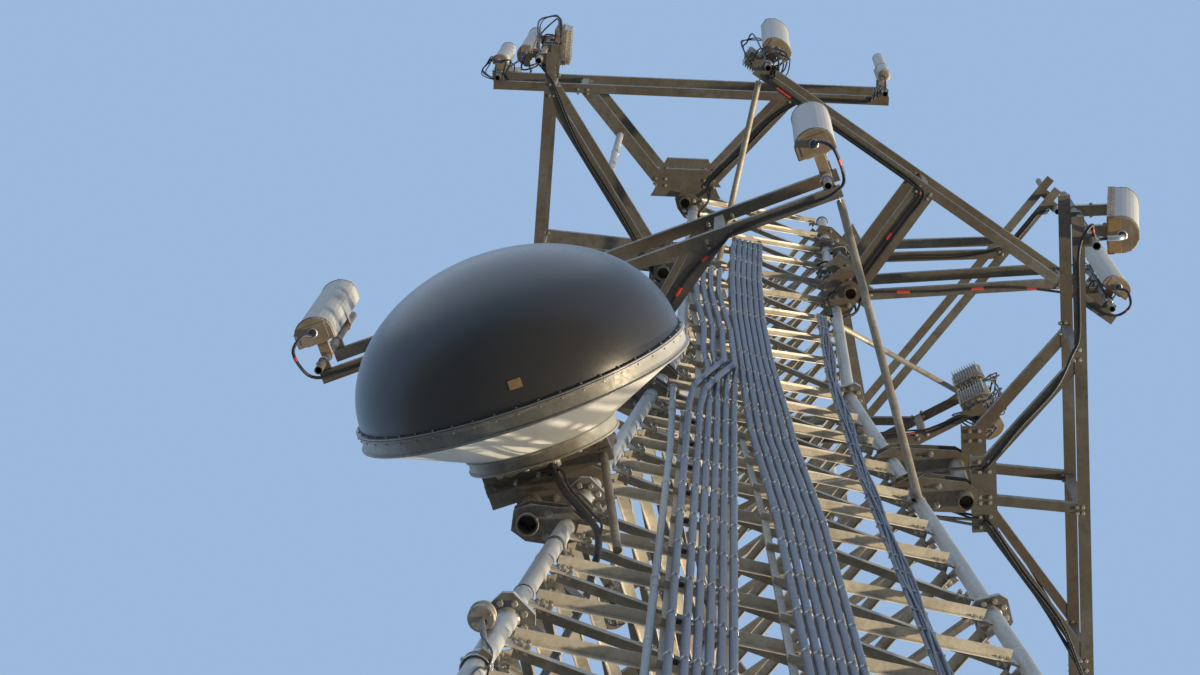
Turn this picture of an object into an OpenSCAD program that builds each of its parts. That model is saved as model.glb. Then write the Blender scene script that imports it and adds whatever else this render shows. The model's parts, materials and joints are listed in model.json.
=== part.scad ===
// Three-legged self-supporting lattice tower for radio antennas.
// Origin: centre of the underside of leg A's base plate. X runs from leg A to leg B,
// Y runs from that face towards leg C, Z is up. Millimetres.

/* [Tower] */
// distance between leg centres at the ground
base_side = 5920; // [5800:10:6000]
// distance between leg centres above the taper
top_side = 1430; // [1400:10:1460]
// height of one tapered section
section_h = 7000; // [6950:10:7050]
// height of the straight top section
top_h = 9200; // [9000:50:9300]

/* [Bracing] */
// number of crossed panels in each of the two lowest sections
low_panels = 4; // [3:1:5]
// number of crossed panels in each of the two upper tapered sections
high_panels = 7; // [6:1:7]
// number of crossed panels in the straight section
top_panels = 9; // [8:1:9]
// flange width of the bracing angles in the lower sections
low_angle = 76; // [72:1:80]
// flange width of the bracing angles in the upper sections
high_angle = 64; // [58:1:66]
// thickness of gusset plates
gusset_t = 12; // [10:1:14]

/* [Sector frames] */
// length of the face rails
rail_len = 4070; // [4000:10:4100]
// flange width of the rail angles
rail_w = 80; // [70:1:90]
// radius of the antenna pipes
pipe_r = 30; // [28:1:32]

/* [Dish] */
// radius of the dish rim
dish_r = 1020; // [1000:5:1030]
// depth of the domed radome
dome_depth = 765; // [700:5:780]

/* [Feeders] */
// radius of one feeder cable
cable_r = 24; // [22:1:25]
// distance between cable centres
cable_pitch = 62; // [58:1:64]

/* [Hidden] */
kink_h = 4 * section_h;
slope = (base_side - top_side) / kink_h;
tilt = atan(slope / (2 * sqrt(3)));
axis_x = base_side / 2;
axis_y = base_side / (2 * sqrt(3));
// the legs are spliced at these multiples of a section, with these radii between
splices = [0, 1, 2, 2.5, 3, 4];
leg_r = [84, 70, 57, 51, 51];
top_leg_r = 51;
top_angle = high_angle - 12;
splice_t = 30;
joint_gap = 260;
rung_face = 125;
dish_at = [1109, 334, 20830];
dish_az = 235.6;
band_w = 105;
cone_depth = 365;
ring_r = 460;
ring_w = 88;
mast_at = [1385, 961];

// level heights of the lower rail, one row a frame:
// leg, lower rail height, rail spacing, centre x, centre y, outward azimuth
frame_c = [0, 25500, 830, 1320, 500, 233.7];
frame_b = [1, 24500, 1000, 5190, 870, 341.4];
frame_x = [2, 25200, 1000, 3073, 4089, 85];
frame_f = [1, 32000, 800, 4310, 0, 288.9];
frame_e = [0, 31800, 800, 850, 1590, 168.2];
frame_g = [2, 31800, 800, 3690, 3300, 46];
frame_a = [0, 35600, 800, 1860, 120, 256.3];
frame_d = [1, 35400, 800, 5037, 1881, 22.7];
frame_h = [2, 35400, 800, 2734, 3815, 100];

steel = [0.55, 0.53, 0.48];
leg_grey = [0.55, 0.60, 0.64];
panel_white = [0.82, 0.82, 0.80];
dome_grey = [0.25, 0.27, 0.29];
cable_blue = [0.36, 0.44, 0.55];

function side_at(z) = base_side - slope * min(z, kink_h);
function leg_az(k) = 210 + 120 * k;
function leg_pt(k, z) = [axis_x + side_at(z) / sqrt(3) * cos(leg_az(k)),
  axis_y + side_at(z) / sqrt(3) * sin(leg_az(k)), z];
function unit(v) = v / norm(v);
function leg_rad(z) = z > kink_h ? top_leg_r
  : leg_r[max([for (i = [0 : 4]) z >= splices[i] * section_h ? i : 0])];
function angle_at(z) = z < 2 * section_h ? low_angle : z < kink_h ? high_angle : top_angle;

// round bar from p to q
module rod(p, q, r) {
  d = q - p;
  translate(p) rotate([0, acos(d[2] / norm(d)), atan2(d[1], d[0])]) rotate(75)
    cylinder(h = norm(d), r = r);
}

// rectangular bar from p to q: w across, t along the up direction
module flat_bar(p, q, w, t, up = [0, 0, 1]) {
  z = unit(q - p);
  x = unit(cross(up, z));
  y = cross(z, x);
  multmatrix([[x[0], y[0], z[0], p[0]], [x[1], y[1], z[1], p[1]], [x[2], y[2], z[2], p[2]]])
    translate([-w / 2, -t / 2, 0]) cube([w, t, norm(q - p)]);
}

// cable along points that climb, each cut level, with n sides
module cable(pts, r, n = 14) {
  m = len(pts);
  polyhedron(
    points = [for (p = pts, i = [0 : n - 1]) p + [r * cos(360 * i / n), r * sin(360 * i / n), 0]],
    faces = concat([[for (i = [0 : n - 1]) i]], [[for (i = [n - 1 : -1 : 0]) (m - 1) * n + i]],
      [for (j = [0 : m - 2], i = [0 : n - 1]) [j * n + i, (j + 1) * n + i,
        (j + 1) * n + (i + 1) % n, j * n + (i + 1) % n]]));
}

// Legs

module splice_plate(k, z, w) {
  c = w - 40;
  translate(leg_pt(k, z)) rotate(leg_az(k)) translate([0, 0, -splice_t])
    linear_extrude(splice_t) polygon([[-w, -c], [-c, -w], [c, -w], [w, -c],
      [w, c], [c, w], [-c, w], [-w, c]]);
}

module base_plate(k) {
  translate(leg_pt(k, 0)) difference() {
    cylinder(h = 40, r = 290);
    for (i = [0 : 7]) rotate(22.5 + 45 * i) translate([225, 0, -1]) cylinder(h = 42, r = 19);
  }
}

module tapered_leg(k) {
  base_plate(k);
  for (i = [0 : 4]) {
    z0 = splices[i] * section_h;
    z1 = splices[i + 1] * section_h;
    rod(leg_pt(k, z0 + splice_t / 2 + (i == 0 ? 5 : 0)), leg_pt(k, z1 - splice_t / 2), leg_r[i]);
    splice_plate(k, z1, leg_r[i] + 62);
    if (i > 0) splice_plate(k, z0 + splice_t - 2, leg_r[i - 1] + 59);
  }
}

module straight_leg(k) {
  splice_plate(k, kink_h + splice_t, leg_r[4] + 62);
  translate(leg_pt(k, kink_h)) {
    translate([0, 0, 4]) cylinder(h = top_h - 4, r = top_leg_r);
    translate([0, 0, top_h - 6]) cylinder(h = 14, r = top_leg_r + 12);
  }
}

module leg_a() { color(leg_grey) tapered_leg(0); }
module leg_b() { color(leg_grey) tapered_leg(1); }
module leg_c() { color(leg_grey) tapered_leg(2); }
module top_leg_a() { color(leg_grey) straight_leg(0); }
module top_leg_b() { color(leg_grey) straight_leg(1); }
module top_leg_c() { color(leg_grey) straight_leg(2); }

// Crossed bracing

// face frame: x from leg to leg, y up the face, z outwards, origin midway at height z0
module on_face(k, z0, lean) {
  m = (leg_pt(k, z0) + leg_pt((k + 1) % 3, z0)) / 2;
  translate(m) rotate(120 * k) rotate([90 - (lean ? tilt : 0), 0, 0]) children();
}

// angle bar in the face, on one side of the gussets
module brace(p, q, w, t, side) {
  d = q - p;
  s = side * (gusset_t / 2);
  translate([p[0], p[1], s]) rotate(atan2(d[1], d[0])) rotate([0, 90, 0])
    linear_extrude(norm(d)) polygon([[0, -w / 2], [-side * t, -w / 2], [-side * t, w / 2 - t],
      [-side * w, w / 2 - t], [-side * w, w / 2], [0, w / 2]]);
}

module face_section(k, z0, h, n, w, lean) {
  cs = lean ? cos(tilt) : 1;
  t = w > 70 ? 7 : 6;
  function half(v) = side_at(z0 + v * cs) / 2;
  function rad(v) = leg_rad(z0 + v * cs);
  ph = (h - 2 * joint_gap) / cs / n;
  v0 = joint_gap / cs;
  pl = 1.9 * w;
  slant = lean ? slope / 2 * cs : 0;
  on_face(k, z0, lean) {
    for (i = [0 : n - 1]) {
      a = v0 + i * ph;
      b = a + ph;
      ia = half(a) - rad(a) - w * 0.55;
      ib = half(b) - rad(b) - w * 0.55;
      brace([-ia, a + w * 0.35], [ib, b - w * 0.35], w, t, 1);
      brace([-ib, b - w * 0.35], [ia, a + w * 0.35], w, t, -1);
      f = ia / (ia + ib);
      translate([0, a + w * 0.35 + (ph - w * 0.7) * f, 0]) cube([w, w, gusset_t + 1], center = true);
    }
    for (i = [0 : n], m = [-1, 1]) {
      v = v0 + i * ph;
      x0 = half(v) - rad(v);
      lo = i == 0 ? -0.35 : -1.1;
      up = i == n ? 0.35 : 1.1;
      translate([0, v, -gusset_t / 2]) linear_extrude(gusset_t) polygon([
        [m * (x0 - lo * w * slant), lo * w], [m * (x0 - pl), lo * w * 0.7],
        [m * (x0 - pl), up * w * 0.7], [m * (x0 - up * w * slant), up * w]]);
    }
  }
}

module tapered_face(k, s) {
  face_section(k, s * section_h, section_h, s < 2 ? low_panels : high_panels,
    s < 2 ? low_angle : high_angle, true);
}

module straight_face(k) { face_section(k, kink_h, top_h, top_panels, top_angle, false); }

module face_ab_1() { color(steel) tapered_face(0, 0); }
module face_ab_2() { color(steel) tapered_face(0, 1); }
module face_ab_3() { color(steel) tapered_face(0, 2); }
module face_ab_4() { color(steel) tapered_face(0, 3); }
module face_ab_top() { color(steel) straight_face(0); }
module face_bc_1() { color(steel) tapered_face(1, 0); }
module face_bc_2() { color(steel) tapered_face(1, 1); }
module face_bc_3() { color(steel) tapered_face(1, 2); }
module face_bc_4() { color(steel) tapered_face(1, 3); }
module face_bc_top() { color(steel) straight_face(1); }
module face_ca_1() { color(steel) tapered_face(2, 0); }
module face_ca_2() { color(steel) tapered_face(2, 1); }
module face_ca_3() { color(steel) tapered_face(2, 2); }
module face_ca_4() { color(steel) tapered_face(2, 3); }
module face_ca_top() { color(steel) straight_face(2); }

// Sector frames

// place children with x along the face, y outwards, z from the lower rail
module at_frame(f) { translate([f[3], f[4], f[1]]) rotate(f[5] - 90) children(); }

function to_frame(f, p) = let (d = p - [f[3], f[4], f[1]], a = f[5] - 90)
  [d[0] * cos(a) + d[1] * sin(a), -d[0] * sin(a) + d[1] * cos(a), d[2]];

function from_frame(f, p) = let (a = f[5] - 90)
  [f[3] + p[0] * cos(a) - p[1] * sin(a), f[4] + p[0] * sin(a) + p[1] * cos(a), f[1] + p[2]];

module rail(mid) {
  translate([mid - rail_len / 2, 0, 0]) rotate([90, 0, 90]) linear_extrude(rail_len)
    polygon([[-rail_w, -rail_w / 2], [8, -rail_w / 2], [8, rail_w / 2], [0, rail_w / 2],
      [0, 8 - rail_w / 2], [-rail_w, 8 - rail_w / 2]]);
}

// clamp plate from the clamp pipe at c round the leg at l, with its two bolt holes
module clamp_plate(c, l, z, w) {
  u = unit([c[0] - l[0], c[1] - l[1]]);
  v = [-u[1], u[0]];
  o = [l[0], l[1]];
  e = [c[0], c[1]];
  a = o - u * (w - 20);
  b = e + u * 90;
  translate([0, 0, z]) difference() {
    linear_extrude(16) polygon([a - v * (w - 60), a + v * (w - 60), o + v * w, e + v * 110,
      b + v * 60, b - v * 60, e - v * 110, o - v * w]);
    for (s = [-1, 1]) translate([(o + e)[0] / 2 + s * v[0] * 70, (o + e)[1] / 2 + s * v[1] * 70, -1])
      cylinder(h = 18, r = 16);
  }
}

// channel from the nose to the rail; a is its middle at the nose, b at the rail, and
// wa and wb are its widths there, measured along the rail
module arm(a, b, wa, wb) {
  t = 9;
  translate([0, 0, -rail_w / 2 + 4]) {
    linear_extrude(t) polygon([[a[0] - wa / 2, a[1]], [b[0] - wb / 2, b[1]],
      [b[0] + wb / 2, b[1]], [a[0] + wa / 2, a[1]]]);
    for (s = [-1, 1]) linear_extrude(rail_w - 10) polygon([
      [a[0] + s * wa / 2, a[1]], [b[0] + s * wb / 2, b[1]],
      [b[0] + s * (wb / 2 - t * 1.4), b[1]], [a[0] + s * (wa / 2 - t * 1.4), a[1]]]);
  }
}

// mid: middle of the rails; c: clamp pipe; nose: half widths at its back and front, then
// their distances from c;
// arms: rows of x at the nose, x at the rail, width at the nose, width at the rail
module sector_frame(f, mid, pipes, c, nose, arms) {
  gap = f[2];
  lr = leg_rad(f[1]);
  yb = c[1] + nose[2];
  yf = c[1] + nose[3];
  at_frame(f) difference() {
    union() {
      for (z = [0, gap]) translate([0, 0, z]) {
        l = to_frame(f, leg_pt(f[0], f[1] + z));
        rail(mid);
        for (m = arms) arm([m[0], (yb + yf) / 2], [m[1], -5], m[2], m[3]);
        translate([c[0], 0, 3 - rail_w / 2]) {
          linear_extrude(12) polygon([[-nose[0], yb], [nose[0], yb], [nose[1], yf], [-nose[1], yf]]);
          translate([-nose[0], yb, 0]) cube([2 * nose[0], 10, rail_w - 6]);
          translate([-nose[1], yf - 10, 0]) cube([2 * nose[1], 10, rail_w - 6]);
        }
        clamp_plate(c, l, 30, lr + 75);
        clamp_plate(c, l, -110, lr + 75);
      }
      for (m = arms) translate([m[1] - 33, -76, 3 - rail_w / 2]) cube([66, 62, gap]);
      translate([c[0], c[1], -260]) cylinder(h = gap + 520, r = 57);
      for (x = pipes) {
        translate([x, 66, -280]) cylinder(h = gap + 1380, r = pipe_r);
        for (z = [0, gap]) translate([x - 45, -30, z - 26]) cube([90, 106, 44]);
      }
    }
    for (x = pipes) translate([x, 66, -281]) cylinder(h = 180, r = pipe_r - 5);
    translate([c[0], c[1], -261]) cylinder(h = 150, r = 50);
    rod(to_frame(f, leg_pt(f[0], f[1] - 400)), to_frame(f, leg_pt(f[0], f[1] + gap + 400)), lr);
  }
}

module low_frame_left() {
  color(steel) sector_frame(frame_c, 40, [-1920, 2030], [20, -880], [260, 200, 60, 210],
    [[-100, -1045, 90, 320], [140, 1045, 90, 320]]);
}

module low_frame_right() {
  color(steel) sector_frame(frame_b, 20, [-1900, 1885], [100, -875], [275, 275, 50, 230],
    [[-100, -1180, 120, 120], [60, -40, 70, 70], [300, 1080, 120, 120]]);
}

module low_frame_back() {
  color(steel) sector_frame(frame_x, 0, [-1900, 1900], [0, -1080], [275, 275, 50, 230],
    [[-200, -1180, 120, 120], [200, 1180, 120, 120]]);
}

module mid_frame_front() {
  color(steel) sector_frame(frame_f, 50, [-1860, 2010], [180, -1205], [240, 180, -60, 130],
    [[170, 155, 210, 210], [40, -1420, 150, 150]]);
}

module mid_frame_left() {
  color(steel) sector_frame(frame_e, 120, [-1865, 2080], [0, -1205], [240, 180, -60, 130],
    [[-40, -80, 150, 150], [60, -1580, 170, 170]]);
}

module mid_frame_back() {
  color(steel) sector_frame(frame_g, 150, [-1840, 2135], [0, -835], [240, 180, -60, 130],
    [[0, 0, 180, 180], [60, 1560, 160, 160]]);
}

module high_frame_front() {
  color(steel) sector_frame(frame_a, -20, [-2000, 1960], [-10, -1150], [360, 220, 30, 320],
    [[-250, -1090, 165, 165], [250, 1090, 165, 165]]);
}

module high_frame_right() {
  color(steel) sector_frame(frame_d, -50, [-1950, 1820], [10, -1255], [300, 200, -80, 160],
    [[-110, -1150, 125, 125], [110, 1150, 125, 125]]);
}

module high_frame_back() {
  color(steel) sector_frame(frame_h, 0, [-1900, 1900], [0, -1080], [300, 200, -80, 160],
    [[-140, -1150, 125, 125], [140, 1150, 125, 125]]);
}

// Antennas

// bracket on the antenna pipe at x: w wide, from y0 to y1, h high, cut to sit on the pipe
module bracket(x, z, w, y0, y1, h) {
  difference() {
    translate([x - w / 2, y0, z]) cube([w, y1 - y0, h]);
    translate([x, 66, z - 1]) cylinder(h = h + 2, r = pipe_r);
  }
}

// panel antenna, a gap in front of its pipe and leaning out at the top; w wide, d deep, h high
module panel(f, x, z, w, d, h, gap = 70, lean = 0) {
  round_d = min(d * 0.6, w * 0.45);
  at_frame(f) {
    translate([x, 66 + pipe_r + gap, z]) rotate([-lean, 0, 0]) {
      for (k = [0, 1]) translate([0, 0, k ? 18 : 0]) linear_extrude(k ? h - 36 : h)
        polygon(let (e = k ? 0 : 5) concat([[w / 2 - e, e], [w / 2 - e, d - round_d]],
          [for (i = [1 : 11]) [(w / 2 - e) * cos(15 * i), d - round_d + (round_d - e) * sin(15 * i)]],
          [[e - w / 2, d - round_d], [e - w / 2, e]]));
      translate([-w * 0.3, -12, 60]) cube([w * 0.6, 14, h - 120]);
    }
    for (s = [200, h - 260]) bracket(x, z + s, 80, 76, 66 + pipe_r + gap + 4 + s * sin(lean), 60);
  }
}

// slim round antenna on a bracket in front of its pipe
module stick(f, x, z, r, h) {
  at_frame(f) {
    translate([x, 66 + pipe_r + 60 + r, z]) cylinder(h = h, r = r);
    for (s = [120, 620]) bracket(x, z + s, 60, 76, 66 + pipe_r + 66, 50);
  }
}

module low_antennas() {
  color(panel_white) {
    panel(frame_c, -1920, 60, 290, 200, 1650, 160);
    panel(frame_c, 2030, 60, 290, 200, 1650, 110);
    panel(frame_b, 1885, 150, 260, 215, 1400, 95, 6.5);
    panel(frame_b, -1900, 150, 260, 215, 1400, 95, 6.5);
    panel(frame_x, -1900, 60, 290, 200, 1650, 110);
    panel(frame_x, 1900, 60, 290, 200, 1650, 110);
  }
}

module mid_antennas() {
  color(panel_white) {
    panel(frame_f, 2010, 120, 270, 150, 1900);
    panel(frame_f, -1860, 120, 270, 150, 1900);
    panel(frame_e, -1865, 120, 180, 120, 1700);
    panel(frame_e, 2080, 120, 270, 150, 1700);
    panel(frame_g, 2135, 120, 270, 150, 1500);
    panel(frame_g, -1840, 120, 270, 150, 1500);
    whip();
  }
}

module high_antennas() {
  color(panel_white) {
    panel(frame_a, 1960, 60, 150, 100, 1300);
    stick(frame_a, -2000, 60, 60, 1650);
    stick(frame_d, -1950, 60, 60, 1650);
    panel(frame_h, 1900, 60, 270, 150, 1500);
    panel(frame_h, -1900, 60, 270, 150, 1500);
  }
}

// whip standing in the channel of the left middle frame's long arm
module whip() {
  at_frame(frame_e) translate([-712, -616, frame_e[2]]) {
    translate([0, 0, 13 - rail_w / 2]) cylinder(h = 2900, r = 35);
    translate([0, 0, rail_w / 2 - 6]) cylinder(h = 40, r = 52);
  }
}

// radio unit behind an antenna pipe, with cooling fins on its back and sides
module radio(f, x, z, w, d, h) {
  fin = 36;
  n = round((w - 60) / 26);
  y = 66 - pipe_r - 40;
  at_frame(f) {
    translate([x - w / 2 + 20, y - d + fin, z]) cube([w - 40, d - fin, h]);
    for (i = [0 : n]) translate([x - w / 2 + 26 + i * (w - 58) / n, y - d, z + 15])
      cube([6, fin + 2, h - 30]);
    for (m = [-1, 1], j = [0 : 3])
      translate([x + m * (w / 2 - 11) - 11, y - 18 - 26 * j, z + 30]) cube([22, 6, h - 60]);
    for (s = [60, h - 120]) bracket(x, z + s, 70, y - 1, 56, 60);
  }
}

module mid_radios() {
  color(panel_white) {
    radio(frame_e, -1865, 1000, 370, 156, 520);
    radio(frame_f, 2010, 1000, 300, 160, 480);
    radio(frame_f, -1860, 1000, 300, 160, 480);
    radio(frame_g, 2135, 150, 300, 150, 480);
    radio(frame_g, 2135, 1000, 300, 150, 480);
  }
}

module high_radios() {
  color(panel_white) {
    radio(frame_a, 1960, 980, 300, 150, 420);
    radio(frame_h, -1900, 980, 300, 150, 420);
    radio(frame_h, 1900, 980, 300, 150, 420);
  }
}

// stays from the frame ends back to the legs
module stay_pipes() {
  color(leg_grey) {
    difference() {
      rod(from_frame(frame_c, [-1960, -109, 0]), leg_pt(1, 24000), 30);
      rod(leg_pt(1, 23000), leg_pt(1, 25000), leg_rad(24000));
    }
    difference() {
      rod(leg_pt(1, 31200), from_frame(frame_g, [2000, -104, 800]), 25);
      rod(leg_pt(1, 30000), leg_pt(1, 33000), top_leg_r);
    }
    a = leg_pt(0, 32050);
    difference() {
      union() {
        rod(from_frame(frame_f, [1990, -107, 30]), a + [265, -92, 0], 28);
        translate(a + [-45, -124, -30]) cube([340, 60, 60]);
        translate(a + [-40, -70, -30]) cube([80, 60, 60]);
      }
      rod(leg_pt(0, 31000), leg_pt(0, 33000), top_leg_r);
    }
  }
}

// Dish

module at_dish() { translate(dish_at) rotate([0, 0, dish_az]) rotate([0, 90, 0]) children(); }

module dish_radome() {
  n = 20;
  r = dish_r - 24;
  t = 14;
  color(dome_grey) at_dish() rotate_extrude($fn = 96) polygon(concat(
    [[dish_r, 0], [dish_r, 14]],
    [for (i = [0 : n]) [r * cos(90 * i / n), 14 + (dome_depth - 14) * sin(90 * i / n)]],
    [for (i = [n : -1 : 0]) [(r - t) * cos(90 * i / n), 14 + (dome_depth - 14 - t) * sin(90 * i / n)]],
    [[r - t, 0]]));
}

module dish_rim() {
  color(steel) at_dish() rotate_extrude($fn = 96) polygon([[dish_r - 16, 0], [dish_r, 0],
    [dish_r, -16], [dish_r - 10, -20], [dish_r - 10, 12 - band_w], [dish_r, 8 - band_w],
    [dish_r, -band_w], [dish_r - 16, -band_w]]);
}

module dish_reflector() {
  r = dish_r - 16;
  w = ring_r - 12;
  color([0.80, 0.80, 0.77]) at_dish() rotate_extrude($fn = 96) polygon([[r, -24], [r, -band_w],
    [ring_r, -cone_depth], [ring_r, -cone_depth - ring_w], [0, -cone_depth - ring_w],
    [0, 14 - cone_depth - ring_w], [w, 14 - cone_depth - ring_w], [w, 6 - cone_depth],
    [r - 14, 6 - band_w], [r - 14, -24]]);
}

function dish_pt(back, along, z) = [dish_at[0] - back * cos(dish_az) - along * sin(dish_az),
  dish_at[1] - back * sin(dish_az) + along * cos(dish_az), dish_at[2] + z];

// plates from the mast pipe round the leg at height z
module mast_clamp(z) {
  l = leg_pt(0, z);
  for (s = [-55, 39]) clamp_plate(mast_at, l, z + s, leg_rad(z) + 62);
}

module dish_mount() {
  back = cone_depth + ring_w;
  bar = back + 115;
  color(steel) difference() {
    union() {
      translate([mast_at[0], mast_at[1], 19950]) cylinder(h = 1950, r = 63);
      for (z = [-130, 300]) {
        flat_bar(dish_pt(bar, -395, z), dish_pt(bar, 395, z), 75, 75);
        for (x = [-355, 355]) flat_bar(dish_pt(back, x, z), dish_pt(bar, x, z), 75, 60);
      }
      for (x = [-355, 355]) flat_bar(dish_pt(bar, x, -130), dish_pt(bar, x, 300), 75, 70, [1, 0, 0]);
      for (z = [-235, 405]) {
        flat_bar(dish_pt(bar + 40, -370, z), dish_pt(bar + 40, 60, z), 90, 150);
        for (x = [-330, 20]) flat_bar(dish_pt(bar + 10, x, z), dish_pt(bar + 10, x, z / 2), 60, 60,
          [1, 0, 0]);
      }
      for (z = [20060, 20500, 21500]) mast_clamp(z);
      rod(dish_pt(bar, 340, -150), front_pt(-1047, 19700, 20), 26);
    }
    translate([mast_at[0], mast_at[1], 19949]) cylinder(h = 200, r = 55);
    rod(leg_pt(0, 19000), leg_pt(0, 20980), leg_rad(20000));
    rod(leg_pt(0, 21020), leg_pt(0, 23000), leg_rad(22000));
  }
}

// Feeders on the face between legs A and B

// middle of each run, as distance from the middle of the face at a height
left_run = [[890, -800], [17000, -590], [24600, -500]];
left_top = [[24590, -470], [28500, -455], [29500, -520], [30300, -550], [31400, -550]];
right_run = [[890, 475], [17600, 120], [21500, 40], [24200, -70], [25200, -85], [27800, -130],
  [29500, -180], [31500, -200], [33400, -180]];

// point on the near face: x from its middle, height z, off outwards
function front_pt(x, z, off) = [axis_x + x,
  axis_y - side_at(z) / (2 * sqrt(3)) - off / (z < kink_h ? cos(tilt) : 1), z];

module on_front(top) {
  if (top) on_face(0, kink_h, false) children();
  else on_face(0, 0, true) children();
}

// flat strip in the face from one height to another
module strip(x0, z0, x1, z1, w, t) {
  top = z1 > kink_h;
  v0 = top ? z0 - kink_h : z0 / cos(tilt);
  v1 = top ? z1 - kink_h : z1 / cos(tilt);
  on_front(top) translate([0, 0, gusset_t / 2 + angle_at((z0 + z1) / 2)]) linear_extrude(t)
    polygon([[x0 - w / 2, v0], [x0 + w / 2, v0], [x1 + w / 2, v1], [x1 - w / 2, v1]]);
}

// ladder along a run: rails between the heights in cuts, at the two distances in spread from
// the run, and rungs over them at each height in rungs, reaching as far as reach
module feeder_ladder(run, cuts, spread, rungs, reach) {
  for (i = [0 : len(cuts) - 2], s = spread) if (cuts[i] != kink_h - 60)
    strip(along(run, cuts[i]) + s, cuts[i] - 10, along(run, cuts[i + 1]) + s, cuts[i + 1], 46, 13);
  for (z = rungs) {
    top = z > kink_h;
    off = gusset_t / 2 + angle_at(z) + 12;
    on_front(top) translate([along(run, z) + reach[0], top ? z - kink_h : z / cos(tilt), off])
      cube([reach[1] - reach[0], 36, rung_face - off]);
  }
}

function along(run, z) = let (i = max([for (j = [0 : len(run) - 2]) z >= run[j][0] ? j : 0]))
  run[i][1] + (run[i + 1][1] - run[i][1]) * (z - run[i][0]) / (run[i + 1][0] - run[i][0]);

module feeder_ladder_left() {
  color(steel) {
    feeder_ladder(left_run, [900, 14000, 17000, 24600], [-190, 130],
      [for (i = [0 : 26]) 1000 + 890 * i], [-220, 195]);
    feeder_ladder(left_top, [24600, kink_h - 60, kink_h + 50, 28500, 29500, 30300, 31200], [-125, 40],
      [for (i = [27 : 33]) 1000 + 890 * i], [-170, 135]);
  }
}

module feeder_ladder_right() {
  color(steel) {
    feeder_ladder(right_run, [900, 14000, 17600, 21500, 24200], [-205, 120],
      [for (i = [0 : 26]) 1000 + 890 * i], [-235, 185]);
    feeder_ladder(right_run, [24200, 25200, kink_h - 60, kink_h + 50, 29500, 31500, 33200], [-120, 110],
      [for (i = [27 : 36]) 1000 + 890 * i], [-165, 160]);
  }
}

module feeder_cables_right() {
  off = rung_face + cable_r - 0.6;
  color(cable_blue) for (i = [0 : 5]) {
    s = i - 2.5;
    cable(concat([for (p = right_run) front_pt(p[1] + s * (p[0] < 27000 ? cable_pitch : 52), p[0], off)],
      [front_pt(-160 + s * 50, 33700, off - 60), front_pt(-150 + s * 50, 34000, off - 230)]), cable_r);
  }
}

// six cables up the left run: two cross in front of the others, two go in between the braces
module feeder_cables_left() {
  off = rung_face + cable_r - 0.6;
  far = off + 2 * cable_r + 4;
  color(cable_blue) for (i = [0 : 5]) {
    x = (i - 2.5) * cable_pitch - (i == 0 ? 20 : 0);
    low = [for (p = left_run) front_pt(p[1] + x, p[0], off)];
    cable(concat(low, i < 2
      ? [front_pt(-655 + 85 * i, 25100, far), front_pt(-545 + 85 * i, 25900, far),
        front_pt(-415 + 83 * i, 26700, far), front_pt(-410 + 78 * i, 28500, off),
        front_pt(-478 + 76 * i, 29500, off), front_pt(-522 + 70 * i, 30300, off),
        front_pt(-530 + 80 * i, 31300, off), front_pt(-500 + 80 * i, 31700, off - 50)]
      : i < 4
      ? [front_pt(-530 + 66 * (i - 2), 26600, off), front_pt(-563 + 76 * (i - 2), 27400, off),
        front_pt(-563 + 76 * (i - 2), 28500, off), front_pt(-628 + 76 * (i - 2), 29500, off),
        front_pt(-658 + 66 * (i - 2), 30300, off), front_pt(-670 + 70 * (i - 2), 31300, off)]
      : [front_pt(-380 + 64 * (i - 4), 26300, off), front_pt(-366 + 60 * (i - 4), 27040, off),
        front_pt(-364 + 58 * (i - 4), 27170, 96), front_pt(-364 + 58 * (i - 4), 27400, -98),
        front_pt(-374 + 58 * (i - 4), 27620, -310)]),
      cable_r);
  }
}

// small bundle beside leg B
module thin_cables() {
  r = 14;
  color(cable_blue) for (i = [0 : 2]) cable([for (p = [[1000, 1300, low_angle], [13900, 870, low_angle],
      [14200, 862, high_angle], [18500, 740, high_angle], [24000, 570, high_angle],
      [27800, 520, high_angle], [28200, 518, top_angle], [31000, 500, top_angle]])
    front_pt(p[1] + 32 * i, p[0], gusset_t / 2 + p[2] + r)], r, 12);
}

module conduit() {
  r = 23;
  color(leg_grey) cable([for (p = [[1000, -1090, low_angle], [13900, -902, low_angle],
      [14200, -898, high_angle], [23000, -785, high_angle], [25400, -785, high_angle]])
    front_pt(p[1], p[0], gusset_t / 2 + p[2] + r)], r, 16);
}

// obstruction lamp on a short post banded to leg A
module side_lamp() {
  l = leg_pt(0, 16400);
  p = [1345, 690, 16410];
  q = [1277, 700, 17000];
  color(steel) difference() {
    union() {
      rod(leg_pt(0, 16370), leg_pt(0, 16430), leg_rad(16400) + 14);
      flat_bar(l + [0, -20, 0], p + [0, -20, 0], 60, 60);
      rod(p, q, 14);
      translate(q + [0, 0, -10]) cylinder(h = 90, r = 62);
      translate(q + [0, 0, 78]) cylinder(h = 60, r = 50);
    }
    rod(leg_pt(0, 16000), leg_pt(0, 16900), leg_rad(16400));
  }
}

leg_a();
leg_b();
leg_c();
top_leg_a();
top_leg_b();
top_leg_c();
face_ab_1();
face_ab_2();
face_ab_3();
face_ab_4();
face_ab_top();
face_bc_1();
face_bc_2();
face_bc_3();
face_bc_4();
face_bc_top();
face_ca_1();
face_ca_2();
face_ca_3();
face_ca_4();
face_ca_top();
low_frame_left();
low_frame_right();
low_frame_back();
mid_frame_front();
mid_frame_left();
mid_frame_back();
high_frame_front();
high_frame_right();
high_frame_back();
low_antennas();
mid_antennas();
high_antennas();
mid_radios();
high_radios();
stay_pipes();
dish_radome();
dish_rim();
dish_reflector();
dish_mount();
feeder_ladder_left();
feeder_cables_left();
feeder_ladder_right();
feeder_cables_right();
thin_cables();
conduit();
side_lamp();
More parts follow.
